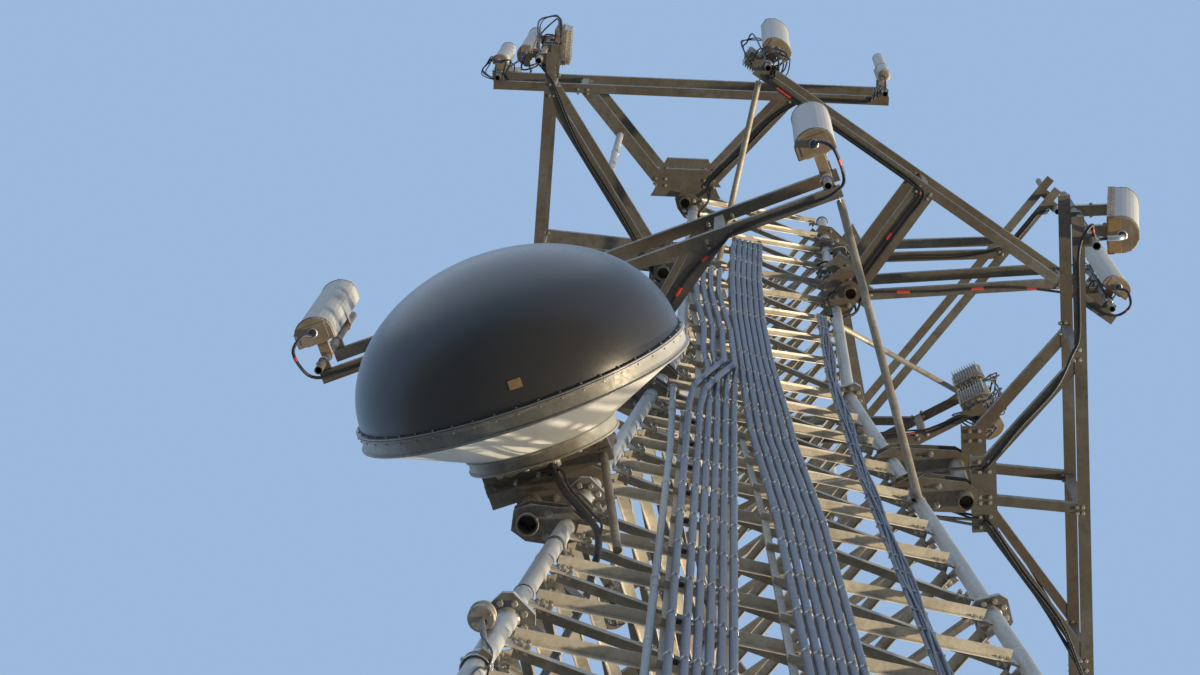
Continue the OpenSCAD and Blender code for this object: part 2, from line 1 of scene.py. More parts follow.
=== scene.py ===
import bpy
import json
import random
from collections import namedtuple
from math import atan, cos, pi, radians, sin, sqrt
from mathutils import Matrix, Vector


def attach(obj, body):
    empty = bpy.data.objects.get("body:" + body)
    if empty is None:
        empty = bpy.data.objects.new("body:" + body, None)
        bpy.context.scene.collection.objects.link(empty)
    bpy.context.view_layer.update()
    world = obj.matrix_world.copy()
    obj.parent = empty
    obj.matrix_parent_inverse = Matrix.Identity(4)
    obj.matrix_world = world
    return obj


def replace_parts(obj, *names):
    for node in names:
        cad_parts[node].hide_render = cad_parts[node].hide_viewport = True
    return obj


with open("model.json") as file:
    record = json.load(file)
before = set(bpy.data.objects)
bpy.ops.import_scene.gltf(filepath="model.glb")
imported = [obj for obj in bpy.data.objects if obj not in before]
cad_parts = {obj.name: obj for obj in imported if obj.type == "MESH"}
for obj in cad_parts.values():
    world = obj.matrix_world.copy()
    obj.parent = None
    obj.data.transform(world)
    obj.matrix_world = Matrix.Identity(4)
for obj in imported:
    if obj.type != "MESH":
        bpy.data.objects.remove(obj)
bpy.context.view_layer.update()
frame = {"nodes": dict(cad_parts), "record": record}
rng = random.Random(7)
UP = Vector((0, 0, 1))
DOWN = Vector((0, 0, -1))
FRONT = Vector((0, -1, 0))

# material helpers; the cosines of UNDERSIDE are where the painted shade on undersides starts and is full
UNDERSIDE = (-0.45, -0.88)
OLD_ZINC = (0.42, 0.42, 0.40)
BROWN_RUN = (0.21, 0.13, 0.075)
RUST = (0.20, 0.085, 0.03)


def link(a, b):
    a.id_data.links.new(a, b)


def new_mat(name):
    m = bpy.data.materials.new(name)
    m.use_nodes = True
    nt = m.node_tree
    nt.nodes.clear()
    out = nt.nodes.new("ShaderNodeOutputMaterial")
    shader = nt.nodes.new("ShaderNodeBsdfPrincipled")
    link(shader.outputs[0], out.inputs[0])
    return m, nt, shader


def node(nt, kind, **settings):
    n = nt.nodes.new(kind)
    for key, value in settings.items():
        if key in n.inputs:
            n.inputs[key].default_value = value
        else:
            setattr(n, key, value)
    return n


def noise(nt, scale, detail=4, rough=0.55, stretch=(1, 1, 1), loc=(0, 0, 0)):
    where = nt.nodes.new("ShaderNodeTexCoord")
    mapping = node(nt, "ShaderNodeMapping", Scale=stretch, Location=loc)
    link(where.outputs["Object"], mapping.inputs[0])
    n = node(nt, "ShaderNodeTexNoise", Scale=scale, Detail=detail, Roughness=rough)
    link(mapping.outputs[0], n.inputs["Vector"])
    return n.outputs["Fac"]


def ramp(nt, fac, start, end):
    """A ramp between two stops, each a place and a colour."""
    r = nt.nodes.new("ShaderNodeValToRGB")
    for stop, (place, colour) in zip(r.color_ramp.elements, (start, end)):
        stop.position = place
        stop.color = (*colour, 1)
    link(fac, r.inputs[0])
    return r.outputs[0]


def greys(nt, fac, start, end, first, last):
    return ramp(nt, fac, (start, (first,) * 3), (end, (last,) * 3))


def mix(nt, fac, a, b):
    n = nt.nodes.new("ShaderNodeMix")
    n.data_type = "RGBA"
    for socket, value in ((n.inputs[0], fac), (n.inputs[6], a), (n.inputs[7], b)):
        if isinstance(value, tuple):
            socket.default_value = (*value, 1)
        else:
            link(value, socket)
    return n.outputs[2]


def bump(nt, shader, height, strength, dist):
    n = node(nt, "ShaderNodeBump", Strength=strength, Distance=dist)
    link(height, n.inputs["Height"])
    link(n.outputs[0], shader.inputs["Normal"])


def painted_shade_below(nt, c, colour, amount, turn=UNDERSIDE, away=(0, 0, 1)):
    """Painted shade, patchy, on faces turned away from a direction."""
    geo = nt.nodes.new("ShaderNodeNewGeometry")
    dot = node(nt, "ShaderNodeVectorMath", operation="DOT_PRODUCT")
    dot.inputs[1].default_value = away
    link(geo.outputs["Normal"], dot.inputs[0])
    span = nt.nodes.new("ShaderNodeMapRange")
    for name, value in (("From Min", turn[0]), ("From Max", turn[1]), ("To Min", 0.0), ("To Max", amount)):
        span.inputs[name].default_value = value
    link(dot.outputs["Value"], span.inputs[0])
    patch = noise(nt, 6.5, 5, 0.65, loc=(2, 8, 5))
    part = node(nt, "ShaderNodeMath", operation="MULTIPLY")
    link(span.outputs[0], part.inputs[0])
    link(greys(nt, patch, 0.28, 0.55, 0.65, 1.0), part.inputs[1])
    return mix(nt, part.outputs[0], c, colour)


def metal(name, dark, light, stain, stain_amount, rough=(0.42, 0.68), metallic=0.35, streak=0.5,
          rust=0.0, painted_shade_colour=None, vary=0.0, turn=UNDERSIDE, away=(0, 0, 1)):
    """Weathered zinc: patches, fine spots, streaks and stains, with rust, painted shade on turned-away faces
    and wide changes if asked.
    """
    m, nt, shader = new_mat(name)
    fine = noise(nt, 38, 3, 0.6)
    c = ramp(nt, noise(nt, 1.7, 5, 0.6), (0.30, dark), (0.70, light))
    if vary:
        wide = noise(nt, 0.75, 2, 0.5, loc=(4, 7, 1))
        c = mix(nt, greys(nt, wide, 0.50, 0.60, 0, vary), c, OLD_ZINC)
        c = mix(nt, greys(nt, wide, 0.36, 0.44, vary, 0), c, BROWN_RUN)
    c = mix(nt, greys(nt, fine, 0.35, 0.65, 0, 0.34), c, tuple(v * 0.72 for v in dark))
    streaks = noise(nt, 9, 5, 0.65, (1, 1, 0.12))
    c = mix(nt, greys(nt, streaks, 0.48, 0.66, 0, streak), c, stain)
    blots = noise(nt, 4.3, 6, 0.7, loc=(3, 5, 7))
    c = mix(nt, greys(nt, blots, 0.56, 0.72, 0, stain_amount), c, stain)
    if rust:
        spots = noise(nt, 13, 6, 0.75, loc=(9, 1, 4))
        c = mix(nt, greys(nt, spots, 0.60, 0.70, 0, rust), c, RUST)
    if painted_shade_colour:
        # painted shade: a darker colour on faces turned away from a direction, weaker where the tone varies
        # widely
        c = painted_shade_below(nt, c, painted_shade_colour, 0.45 if vary else 0.8, turn, away)
    link(c, shader.inputs["Base Color"])
    link(greys(nt, fine, 0.3, 0.7, *rough), shader.inputs["Roughness"])
    shader.inputs["Metallic"].default_value = metallic
    bump(nt, shader, fine, 0.25, 0.002)
    return m


def plastic(name, base, dirt, dirt_amount, rough=(0.45, 0.62), streak=0.4, scale=5.0, painted_shade_colour=None):
    """A painted or moulded skin with streaks and specks of dirt, and painted shade on its undersides if
    asked.
    """
    m, nt, shader = new_mat(name)
    c = ramp(nt, noise(nt, 1.3, 4, 0.55), (0.3, tuple(v * 0.93 for v in base)), (0.7, base))
    streaks = noise(nt, scale, 5, 0.6, (1, 1, 0.08))
    c = mix(nt, greys(nt, streaks, 0.5, 0.72, 0, streak), c, dirt)
    specks = noise(nt, 46, 4, 0.7)
    c = mix(nt, greys(nt, specks, 0.60, 0.72, 0, dirt_amount), c, dirt)
    if painted_shade_colour:
        # painted shade: a darker colour on faces turned down
        c = painted_shade_below(nt, c, painted_shade_colour, 1.0)
    link(c, shader.inputs["Base Color"])
    link(greys(nt, specks, 0.3, 0.7, *rough), shader.inputs["Roughness"])
    bump(nt, shader, specks, 0.08, 0.001)
    return m


# materials; the last colour given to leg, frame, rim, white, unit and dish is painted shade on faces turned
# down, and that of brace is painted shade on faces turned away from the key light
M = {
    "leg": metal("leg_zinc", (0.40, 0.43, 0.44), (0.56, 0.57, 0.56), (0.36, 0.31, 0.24), 0.45,
                 rust=0.3, painted_shade_colour=(0.12, 0.10, 0.075)),
    # painted shade: the bracing darker on faces turned towards -X and down, away from the key light
    "brace": metal("brace_zinc", (0.48, 0.44, 0.36), (0.70, 0.655, 0.555), (0.20, 0.155, 0.105), 0.45,
                   rough=(0.36, 0.6), metallic=0.12, streak=0.35, rust=0.25,
                   painted_shade_colour=(0.125, 0.103, 0.072), turn=(-0.42, -0.64), away=(0.866, 0, 0.5)),
    "frame": metal("frame_zinc", (0.165, 0.145, 0.113), (0.31, 0.283, 0.23), (0.10, 0.07, 0.045), 0.55,
                   rust=0.35, painted_shade_colour=(0.10, 0.083, 0.058), vary=0.5),
    "rim": metal("rim_zinc", (0.40, 0.40, 0.37), (0.56, 0.55, 0.50), (0.24, 0.22, 0.18), 0.3,
                 rough=(0.35, 0.5), metallic=0.2, streak=0.35, painted_shade_colour=(0.10, 0.087, 0.066)),
    "stay": metal("stay_pipe", (0.34, 0.29, 0.21), (0.52, 0.47, 0.38), (0.22, 0.15, 0.09), 0.5, rust=0.5),
    "bolt": metal("bolt_zinc", (0.34, 0.32, 0.27), (0.58, 0.55, 0.48), (0.20, 0.14, 0.08), 0.5,
                  metallic=0.6, rust=0.35),
    "clip": metal("clip_steel", (0.42, 0.46, 0.50), (0.66, 0.69, 0.71), (0.30, 0.29, 0.26), 0.3,
                  rough=(0.28, 0.45), metallic=0.7),
    "tan": metal("tan_plate", (0.34, 0.20, 0.085), (0.48, 0.31, 0.15), (0.18, 0.105, 0.05), 0.4,
                 metallic=0.2),
    "white": plastic("radome_white", (0.52, 0.53, 0.52), (0.36, 0.33, 0.27), 0.2, painted_shade_colour=(0.25, 0.18, 0.11)),
    "unit": plastic("unit_paint", (0.52, 0.51, 0.47), (0.30, 0.26, 0.20), 0.3, painted_shade_colour=(0.25, 0.19, 0.12)),
    "dome": plastic("dome_skin", (0.038, 0.033, 0.028), (0.052, 0.047, 0.04), 0.12,
                    rough=(0.27, 0.38), streak=0.10, scale=1.0),
    "dish": plastic("dish_paint", (0.55, 0.55, 0.51), (0.38, 0.35, 0.28), 0.25,
                    streak=0.55, painted_shade_colour=(0.12, 0.10, 0.075)),
    "cable": plastic("cable_jacket", (0.125, 0.155, 0.225), (0.075, 0.085, 0.11), 0.4,
                     rough=(0.35, 0.55), streak=0.5, scale=8.0),
    "black": plastic("black_rubber", (0.022, 0.023, 0.026), (0.06, 0.055, 0.05), 0.3,
                     rough=(0.4, 0.6), streak=0.3, scale=9.0),
    "red": plastic("red_tape", (0.62, 0.06, 0.035), (0.25, 0.06, 0.04), 0.3,
                   rough=(0.35, 0.55), streak=0.3, scale=9.0),
    "cream": plastic("cream_moulding", (0.62, 0.52, 0.40), (0.35, 0.27, 0.18), 0.3),
    "conduit": plastic("conduit_skin", (0.42, 0.48, 0.53), (0.25, 0.25, 0.24), 0.3),
    "lens": plastic("lamp_lens", (0.33, 0.045, 0.025), (0.12, 0.03, 0.02), 0.15,
                    rough=(0.12, 0.3), streak=0.2, scale=9.0),
}
dome_shader = M["dome"].node_tree.nodes["Principled BSDF"]
dome_shader.inputs["Coat Weight"].default_value = 0.35
dome_shader.inputs["Coat Roughness"].default_value = 0.3

# looks of the CAD's own pieces, by material slot and, for two of them, by name
SLOTS = {
    "galvanised_leg": "leg", "galvanised_brace": "brace", "weathered_steel": "frame",
    "radome_white": "white", "unit_grey": "unit", "radome_dark": "dome", "dish_white": "dish",
    "cable_jacket": "cable", "conduit_grey": "conduit",
}
OWN_LOOK = {"dish_rim": "rim", "stay_pipes": "stay"}
slot_of = {s["node"]: s["material_slot"] for s in frame["record"]["subparts"]}
for name, ob in frame["nodes"].items():
    ob.data.materials.clear()
    ob.data.materials.append(M[OWN_LOOK.get(name, SLOTS[slot_of[name]])])

# the tower's own numbers, in metres
BASE, TOP, KINK, GUSSET = 5.92, 1.43, 28.0, 0.012
LIFT_H, TOP_H, JOINT_GAP = 7.0, 9.2, 0.26
SLOPE = (BASE - TOP) / KINK
TILT = atan(SLOPE / (2 * sqrt(3)))
AX, AY = BASE / 2, BASE / (2 * sqrt(3))
SPLICES = [0.0, 7.0, 14.0, 17.5, 21.0, 28.0]
LEG_R = [0.084, 0.070, 0.057, 0.051, 0.051]
# antenna pipes: their middle in front of the rail, their radius and that of their U-bolts
PIPE_Y, PIPE_R, PIPE_U = 0.066, 0.03, 0.036
# leg, height, rail gap, place, bearing, antenna pipes, clamp pipe, back and front of the nose from it,
# and arms: x at the nose and at the rail, width at the nose and at the rail
Frame = namedtuple("Frame", "leg z gap x y bearing pipes clamp nose arms")
FRAMES = {
    "low_frame_left": Frame(
        0, 25.5, 0.83, 1.32, 0.5, 233.7, (-1.92, 2.03), (0.02, -0.88), (0.06, 0.21),
        ((-0.1, -1.045, 0.09, 0.32), (0.14, 1.045, 0.09, 0.32))),
    "low_frame_right": Frame(
        1, 24.5, 1.0, 5.19, 0.87, 341.4, (-1.9, 1.885), (0.1, -0.875), (0.05, 0.23),
        ((-0.1, -1.18, 0.12, 0.12), (0.06, -0.04, 0.07, 0.07), (0.3, 1.08, 0.12, 0.12))),
    "low_frame_back": Frame(
        2, 25.2, 1.0, 3.073, 4.089, 85, (-1.9, 1.9), (0.0, -1.08), (0.05, 0.23),
        ((-0.2, -1.18, 0.12, 0.12), (0.2, 1.18, 0.12, 0.12))),
    "mid_frame_front": Frame(
        1, 32.0, 0.8, 4.31, 0.0, 288.9, (-1.86, 2.01), (0.18, -1.205), (-0.06, 0.13),
        ((0.17, 0.155, 0.21, 0.21), (0.04, -1.42, 0.15, 0.15))),
    "mid_frame_left": Frame(
        0, 31.8, 0.8, 0.85, 1.59, 168.2, (-1.865, 2.08), (0.0, -1.205), (-0.06, 0.13),
        ((-0.04, -0.08, 0.15, 0.15), (0.06, -1.58, 0.17, 0.17))),
    "mid_frame_back": Frame(
        2, 31.8, 0.8, 3.69, 3.3, 46, (-1.84, 2.135), (0.0, -0.835), (-0.06, 0.13),
        ((0.0, 0.0, 0.18, 0.18), (0.06, 1.56, 0.16, 0.16))),
    "high_frame_front": Frame(
        0, 35.6, 0.8, 1.86, 0.12, 256.3, (-2.0, 1.96), (-0.01, -1.15), (0.03, 0.32),
        ((-0.25, -1.09, 0.165, 0.165), (0.25, 1.09, 0.165, 0.165))),
    "high_frame_right": Frame(
        1, 35.4, 0.8, 5.037, 1.881, 22.7, (-1.95, 1.82), (0.01, -1.255), (-0.08, 0.16),
        ((-0.11, -1.15, 0.125, 0.125), (0.11, 1.15, 0.125, 0.125))),
    "high_frame_back": Frame(
        2, 35.4, 0.8, 2.734, 3.815, 100, (-1.9, 1.9), (0.0, -1.08), (-0.08, 0.16),
        ((-0.14, -1.15, 0.125, 0.125), (0.14, 1.15, 0.125, 0.125))),
}


def side_at(z):
    return BASE - SLOPE * min(z, KINK)


def polar(a):
    return Vector((cos(a), sin(a), 0))


def leg_pt(k, z):
    r = side_at(z) / sqrt(3)
    return Vector((AX, AY, z)) + polar(radians(210 + 120 * k)) * r


def leg_rad(z):
    return LEG_R[max(i for i in range(5) if z >= SPLICES[i])]


def angle_at(z):
    return 0.076 if z < 14 else 0.064 if z < KINK else 0.052


def front_pt(x, z, off):
    """A point off in front of the near face, x to the right of its middle."""
    lean = cos(TILT) if z < KINK else 1
    return Vector((AX + x, AY - side_at(z) / (2 * sqrt(3)) - off / lean, z))


def face_matrix(k, z0, lean):
    """Foot of face k at height z0: x runs along the face and y up in its plane."""
    middle = (leg_pt(k, z0) + leg_pt((k + 1) % 3, z0)) / 2
    return (Matrix.Translation(middle) @ Matrix.Rotation(radians(120 * k), 4, "Z")
            @ Matrix.Rotation(pi / 2 - (TILT if lean else 0), 4, "X"))


def frame_matrix(name):
    f = FRAMES[name]
    return Matrix.Translation((f.x, f.y, f.z)) @ Matrix.Rotation(radians(f.bearing - 90), 4, "Z")


def nose_y(f):
    return f.clamp[1] + (f.nose[0] + f.nose[1]) / 2


def spot(m, x, y, z):
    return m @ Vector((x, y, z))


def aim(m, x, y, z):
    """A direction given along the matrix's own axes."""
    return m.to_3x3() @ Vector((x, y, z))


def axes_matrix(x, y, z, place):
    m = Matrix((x, y, z)).transposed().to_4x4()
    m.translation = place
    return m


# mesh tools

class Build:
    """Collects the vertices and faces of one joined piece."""

    def __init__(self):
        self.verts = []
        self.faces = []
        self.smooth = []

    def add(self, verts, faces, smooth=False):
        n = len(self.verts)
        self.verts.extend([tuple(p) for p in verts])
        self.faces.extend([tuple(i + n for i in face) for face in faces])
        self.smooth.extend([smooth] * len(faces))

    def make(self, name, mat, slot, bevel=0.0):
        mesh = bpy.data.meshes.new(name)
        mesh.from_pydata(self.verts, [], self.faces)
        mesh.polygons.foreach_set("use_smooth", self.smooth)
        mesh.materials.append(M[mat])
        ob = bpy.data.objects.new(name, mesh)
        bpy.context.collection.objects.link(ob)
        if bevel:
            edge = ob.modifiers.new("bevel", "BEVEL")
            edge.width, edge.segments, edge.limit_method = bevel, 2, "ANGLE"
        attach(ob, "root")
        return ob


def basis(axis):
    z = Vector(axis).normalized()
    other = UP if abs(z.z) < 0.9 else Vector((1, 0, 0))
    x = other.cross(z).normalized()
    return x, z.cross(x), z


def add_skin(b, verts, n, smooth, closed):
    """A skin over rings of n points; its two ends get a face each, or meet when it is closed."""
    rings = len(verts) // n
    faces = []
    for j in range(rings if closed else rings - 1):
        for i in range(n):
            k, t = (i + 1) % n, (j + 1) % rings
            faces.append((j * n + i, j * n + k, t * n + k, t * n + i))
    b.add(verts, faces, smooth)
    if not closed:
        b.add(verts[:n], [tuple(reversed(range(n)))])
        b.add(verts[-n:], [tuple(range(n))])


def lathe(b, p, axis, prof, n=16, smooth=True, closed=False):
    """Turned shape; prof is rows of radius and height along the axis from p."""
    x, y, z = basis(axis)
    verts = []
    for r, h in prof:
        for i in range(n):
            a = 2 * pi * i / n
            verts.append(Vector(p) + z * h + (x * cos(a) + y * sin(a)) * r)
    add_skin(b, verts, n, smooth, closed)


def collar(b, p, d, r, rim, edge, length, n):
    """Sleeve on a pipe of radius r, from p along d, out to the radius rim."""
    lathe(b, p, d, [(r, 0), (rim, edge), (rim, length - edge), (r, length)], n)


def post(b, p, q, r, n=12, smooth=True):
    d = Vector(q) - Vector(p)
    lathe(b, p, d, [(r, 0), (r, d.length)], n, smooth)


def slab(b, m, x0, x1, y0, y1, z0, z1):
    verts = [spot(m, x, y, z) for z in (z0, z1) for x, y in ((x0, y0), (x1, y0), (x1, y1), (x0, y1))]
    b.add(verts, [(0, 3, 2, 1), (4, 5, 6, 7), (0, 1, 5, 4), (1, 2, 6, 5), (2, 3, 7, 6), (3, 0, 4, 7)])


def smooth_path(pts, k=6):
    """A smooth curve through the points, with k steps from each to the next."""
    pts = [Vector(p) for p in pts]
    out = []
    for i in range(len(pts) - 1):
        a, b, c, d = pts[max(i - 1, 0)], pts[i], pts[i + 1], pts[min(i + 2, len(pts) - 1)]
        for j in range(k):
            t = j / k
            out.append(0.5 * (2 * b + (c - a) * t + (2 * a - 5 * b + 4 * c - d) * t * t
                              + (3 * b - a - 3 * c + d) * t ** 3))
    return out + [pts[-1]]


def cable(b, pts, r, n=8, k=6):
    tube(b, smooth_path(pts, k), r, n)


def tube(b, pts, r, n=8, closed=False):
    pts = [Vector(p) for p in pts]
    last = len(pts) - 1
    dirs = []
    for i in range(last + 1):
        before, after = (i - 1, (i + 1) % (last + 1)) if closed else (max(i - 1, 0), min(i + 1, last))
        dirs.append((pts[after] - pts[before]).normalized())
    x = basis(dirs[0])[0]
    verts = []
    for p, d in zip(pts, dirs):
        x = (x - d * x.dot(d)).normalized()
        y = d.cross(x)
        verts += [p + (x * cos(2 * pi * i / n) + y * sin(2 * pi * i / n)) * r for i in range(n)]
    add_skin(b, verts, n, True, closed)


def bolt(b, p, d, af, grip=0.0, washer=True):
    """Hexagon head, af across flats, seated at p and facing d; a grip puts a nut at the other end."""
    d, p = Vector(d).normalized(), Vector(p)
    t = af * 0.13 if washer else 0.0
    if washer:
        post(b, p, p + d * t, af * 0.66, 10, False)
    lathe(b, p + d * t, d, [(af * 0.577, 0), (af * 0.577, af * 0.48), (af * 0.5, af * 0.55)], 6, False)
    if grip:
        q = p - d * grip
        post(b, q, q - d * af * 0.13, af * 0.66, 10, False)
        lathe(b, q - d * af * 0.13, -d, [(af * 0.577, 0), (af * 0.577, af * 0.62)], 6, False)
        post(b, q - d * af * 0.7, q - d * af * 1.15, af * 0.32, 8)


def ubolt(b, c, axis, out, r, leg, wire=0.006):
    """Round a pipe centred at c, with its two legs going back by leg and ending in nuts."""
    c, axis, out = Vector(c), Vector(axis).normalized(), Vector(out).normalized()
    x = axis.cross(out)
    pts = [c - out * leg + x * r]
    pts += [c + x * r * cos(pi * i / 10) + out * r * sin(pi * i / 10) for i in range(11)]
    pts.append(c - out * leg - x * r)
    tube(b, pts, wire, 8)
    for s in (-1, 1):
        q = c - out * (leg - 0.012) + x * r * s
        lathe(b, q, -out, [(wire * 1.9, 0), (wire * 1.9, wire * 1.7)], 6, False)


def band(b, p, axis, r, w, t=0.003, n=16):
    """Strap of width w and thickness t round a pipe of radius r, centred at p."""
    z = Vector(axis).normalized()
    prof = [(r - 0.0005, 0), (r + t * 0.6, 0), (r + t, w * 0.1),
            (r + t, w * 0.9), (r + t * 0.6, w), (r - 0.0005, w)]
    lathe(b, Vector(p) - z * w / 2, z, prof, n, closed=True)


def along(run, z):
    """The x of a run at height z, between its rows of z and x."""
    i = max([j for j in range(len(run) - 1) if z >= run[j][0]] or [0])
    (z0, x0), (z1, x1) = run[i], run[i + 1]
    return x0 + (x1 - x0) * (z - z0) / (z1 - z0)


def at_z(path, z):
    """The point of a path at height z and its direction there."""
    for a, c in zip(path, path[1:]):
        if a.z <= z <= c.z:
            return a.lerp(c, (z - a.z) / (c.z - a.z)), (c - a).normalized()
    return None, None


# legs: splice bolts, anchor bolts and ribs of the foot
LEGS = "abc"


def splice_bolts(k):
    b = Build()
    for r, z in zip(LEG_R, SPLICES[1:]):
        for j in range(8):
            a = radians(210 + 120 * k) + radians(22.5 + 45 * j)
            bolt(b, leg_pt(k, z) + polar(a) * (r + 0.036) - UP * 0.03, DOWN, 0.03, 0.058)
        for h, side in ((-0.033, DOWN), (0.031, UP)):
            lathe(b, leg_pt(k, z + h), side, [(r + 0.009, 0), (r + 0.006, 0.004), (r + 0.0005, 0.009)], 24)
    b.make("splice_bolts_" + LEGS[k], "bolt", "galvanised_leg")


def anchor_bolts(k):
    b = Build()
    for j in range(8):
        p = leg_pt(k, 0) + polar(radians(22.5 + 45 * j)) * 0.225
        post(b, p + UP * 0.003, p + UP * 0.135, 0.0145, 12)
        for t in range(6):
            lathe(b, p + UP * (0.1 + t * 0.006), UP, [(0.0145, 0), (0.0158, 0.002), (0.0145, 0.004)], 12)
        post(b, p + UP * 0.04, p + UP * 0.046, 0.034, 20)
        for z, h in ((0.046, 0.026), (0.075, 0.016)):
            lathe(b, p + UP * z, UP, [(0.0265, 0), (0.0265, h), (0.022, h + 0.003)], 6, False)
    b.make("anchor_bolts_" + LEGS[k], "bolt", "galvanised_leg")


def foot_ribs(k):
    b = Build()
    outline = ((0.074, 0.039), (0.27, 0.039), (0.27, 0.06), (0.1, 0.22), (0.074, 0.22))
    edges = [(q, (q + 1) % 5, (q + 1) % 5 + 5, q + 5) for q in range(5)]
    for j in range(8):
        m = Matrix.Translation(leg_pt(k, 0)) @ Matrix.Rotation(radians(45 * j), 4, "Z")
        verts = [spot(m, x, y, z) for y in (-0.006, 0.006) for x, z in outline]
        b.add(verts, [(4, 3, 2, 1, 0), (5, 6, 7, 8, 9)] + edges)
    b.make("foot_ribs_" + LEGS[k], "leg", "galvanised_leg", 0.002)


for k in range(3):
    splice_bolts(k)
    anchor_bolts(k)
    foot_ribs(k)

# bolts of the crossed bracing; the rows of panels are four, four, seven, seven and nine


def bar_bolts(b, m, p, q, side, w, t, long_bar):
    """Two bolts at each end of a bar; the far ones of the long lower bars have no nut."""
    d = Vector((q[0] - p[0], q[1] - p[1], 0))
    u = d.normalized()
    for f in (0.032, 0.032 + w * 0.72, d.length - 0.032 - w * 0.72, d.length - 0.032):
        e = spot(m, p[0] + u.x * f, p[1] + u.y * f, side * (GUSSET / 2 + t))
        bolt(b, e, aim(m, 0, 0, side), 0.024, 0.0 if long_bar and f > 1 else t + GUSSET)


def brace_bolts(k, side_name):
    b = Build()
    for s, panels in enumerate((4, 4, 7, 7, 9)):
        lean = s < 4
        z0 = LIFT_H * s
        w = angle_at(z0 + 1)
        t = 0.007 if w > 0.07 else 0.006
        cs = cos(TILT) if lean else 1
        ph = ((LIFT_H if lean else TOP_H) - 2 * JOINT_GAP) / cs / panels
        m = face_matrix(k, z0, lean)
        for i in range(panels):
            lo = JOINT_GAP / cs + i * ph
            hi = lo + ph
            ia, ib = [side_at(z0 + v * cs) / 2 - leg_rad(z0 + v * cs) - w * 0.55 for v in (lo, hi)]
            y0, y1 = lo + w * 0.35, hi - w * 0.35
            bar_bolts(b, m, (-ia, y0), (ib, y1), 1, w, t, s < 2)
            bar_bolts(b, m, (-ib, y1), (ia, y0), -1, w, t, s < 2)
            cross = y0 + (ph - w * 0.7) * (ia / (ia + ib))
            bolt(b, spot(m, 0, cross, GUSSET / 2 + t), aim(m, 0, 0, 1), 0.024, 2 * t + GUSSET)
    b.make("brace_bolts_" + side_name, "bolt", "galvanised_brace")


for k, side_name in enumerate(("ab", "bc", "ca")):
    brace_bolts(k, side_name)

# sector frames: bolts, U-bolts and plates
ROD_NUT = [(0.026, 0), (0.026, 0.003), (0.019, 0.003), (0.019, 0.02)]


def rail_fixings(b, nuts, m, f, z):
    """What holds the pipes, the arms and the clamp pipe at the rail of height z."""
    out = aim(m, 0, 1, 0)
    for x in f.pipes:
        ubolt(b, spot(m, x, PIPE_Y, z + 0.03), UP, out, PIPE_U, 0.09)
        slab(b, m, x - 0.05, x + 0.05, 0.0765, 0.082, z - 0.024, z + 0.016)
        for q in (-0.034, 0.034):
            bolt(nuts, spot(m, x + q, 0.0766, z - 0.004), out, 0.016)
    yn = nose_y(f)
    for a0, a1, w0, w1 in f.arms:
        for q in (-0.3, 0.3):
            bolt(nuts, spot(m, a1 + q * w1, -0.045, z - 0.04), DOWN, 0.024)
            for v in ((0.06, 0.1) if w1 > 0.2 else (0.085,)):
                bolt(nuts, spot(m, a1 + q * w1, -v, z - 0.0365), DOWN, 0.024)
            for v in (-0.03, 0.04):
                bolt(nuts, spot(m, a0 + q * w0, yn + v, z - 0.037), DOWN, 0.024)
    cx, cy = f.clamp
    ubolt(b, spot(m, cx, cy, z + 0.045), UP, -out, 0.066, 0.1, 0.008)
    slab(b, m, cx - 0.1, cx + 0.1, cy + 0.062, cy + 0.074, z + 0.018, z + 0.07)


def leg_clamp(b, nuts, m, f, z):
    """Rods through the clamp plates, bolts beside the leg and half clamps that grip it."""
    leg = (m.inverted() @ leg_pt(f.leg, f.z)).to_2d()
    pipe = Vector(f.clamp)
    u = (pipe - leg).normalized()
    v = Vector((-u.y, u.x))
    for s in (-1, 1):
        p = (leg + pipe) / 2 + v * 0.07 * s
        post(b, spot(m, p.x, p.y, z - 0.15), spot(m, p.x, p.y, z + 0.085), 0.010, 10)
        for h, side in ((-0.11, DOWN), (0.046, UP)):
            lathe(nuts, spot(m, p.x, p.y, z + h), side, ROD_NUT + [(0.016, 0.022)], 6, False)
    for h in (-0.11, 0.03):
        for s in (-1, 1):
            q = leg + v * s * (leg_rad(f.z) + 0.05)
            bolt(nuts, spot(m, q.x, q.y, z + h), DOWN, 0.024)
    for h in (-0.06, 0.0):
        band(b, leg_pt(f.leg, f.z + z + h), UP, leg_rad(f.z), 0.04, 0.006, 20)


for name, f in FRAMES.items():
    m = frame_matrix(name)
    b, nuts = Build(), Build()
    for z in (0.0, f.gap):
        rail_fixings(b, nuts, m, f, z)
    for z in (0.0, f.gap):
        leg_clamp(b, nuts, m, f, z)
    b.make(name + "_ubolts", "clip", "weathered_steel")
    nuts.make(name + "_bolts", "bolt", "weathered_steel")

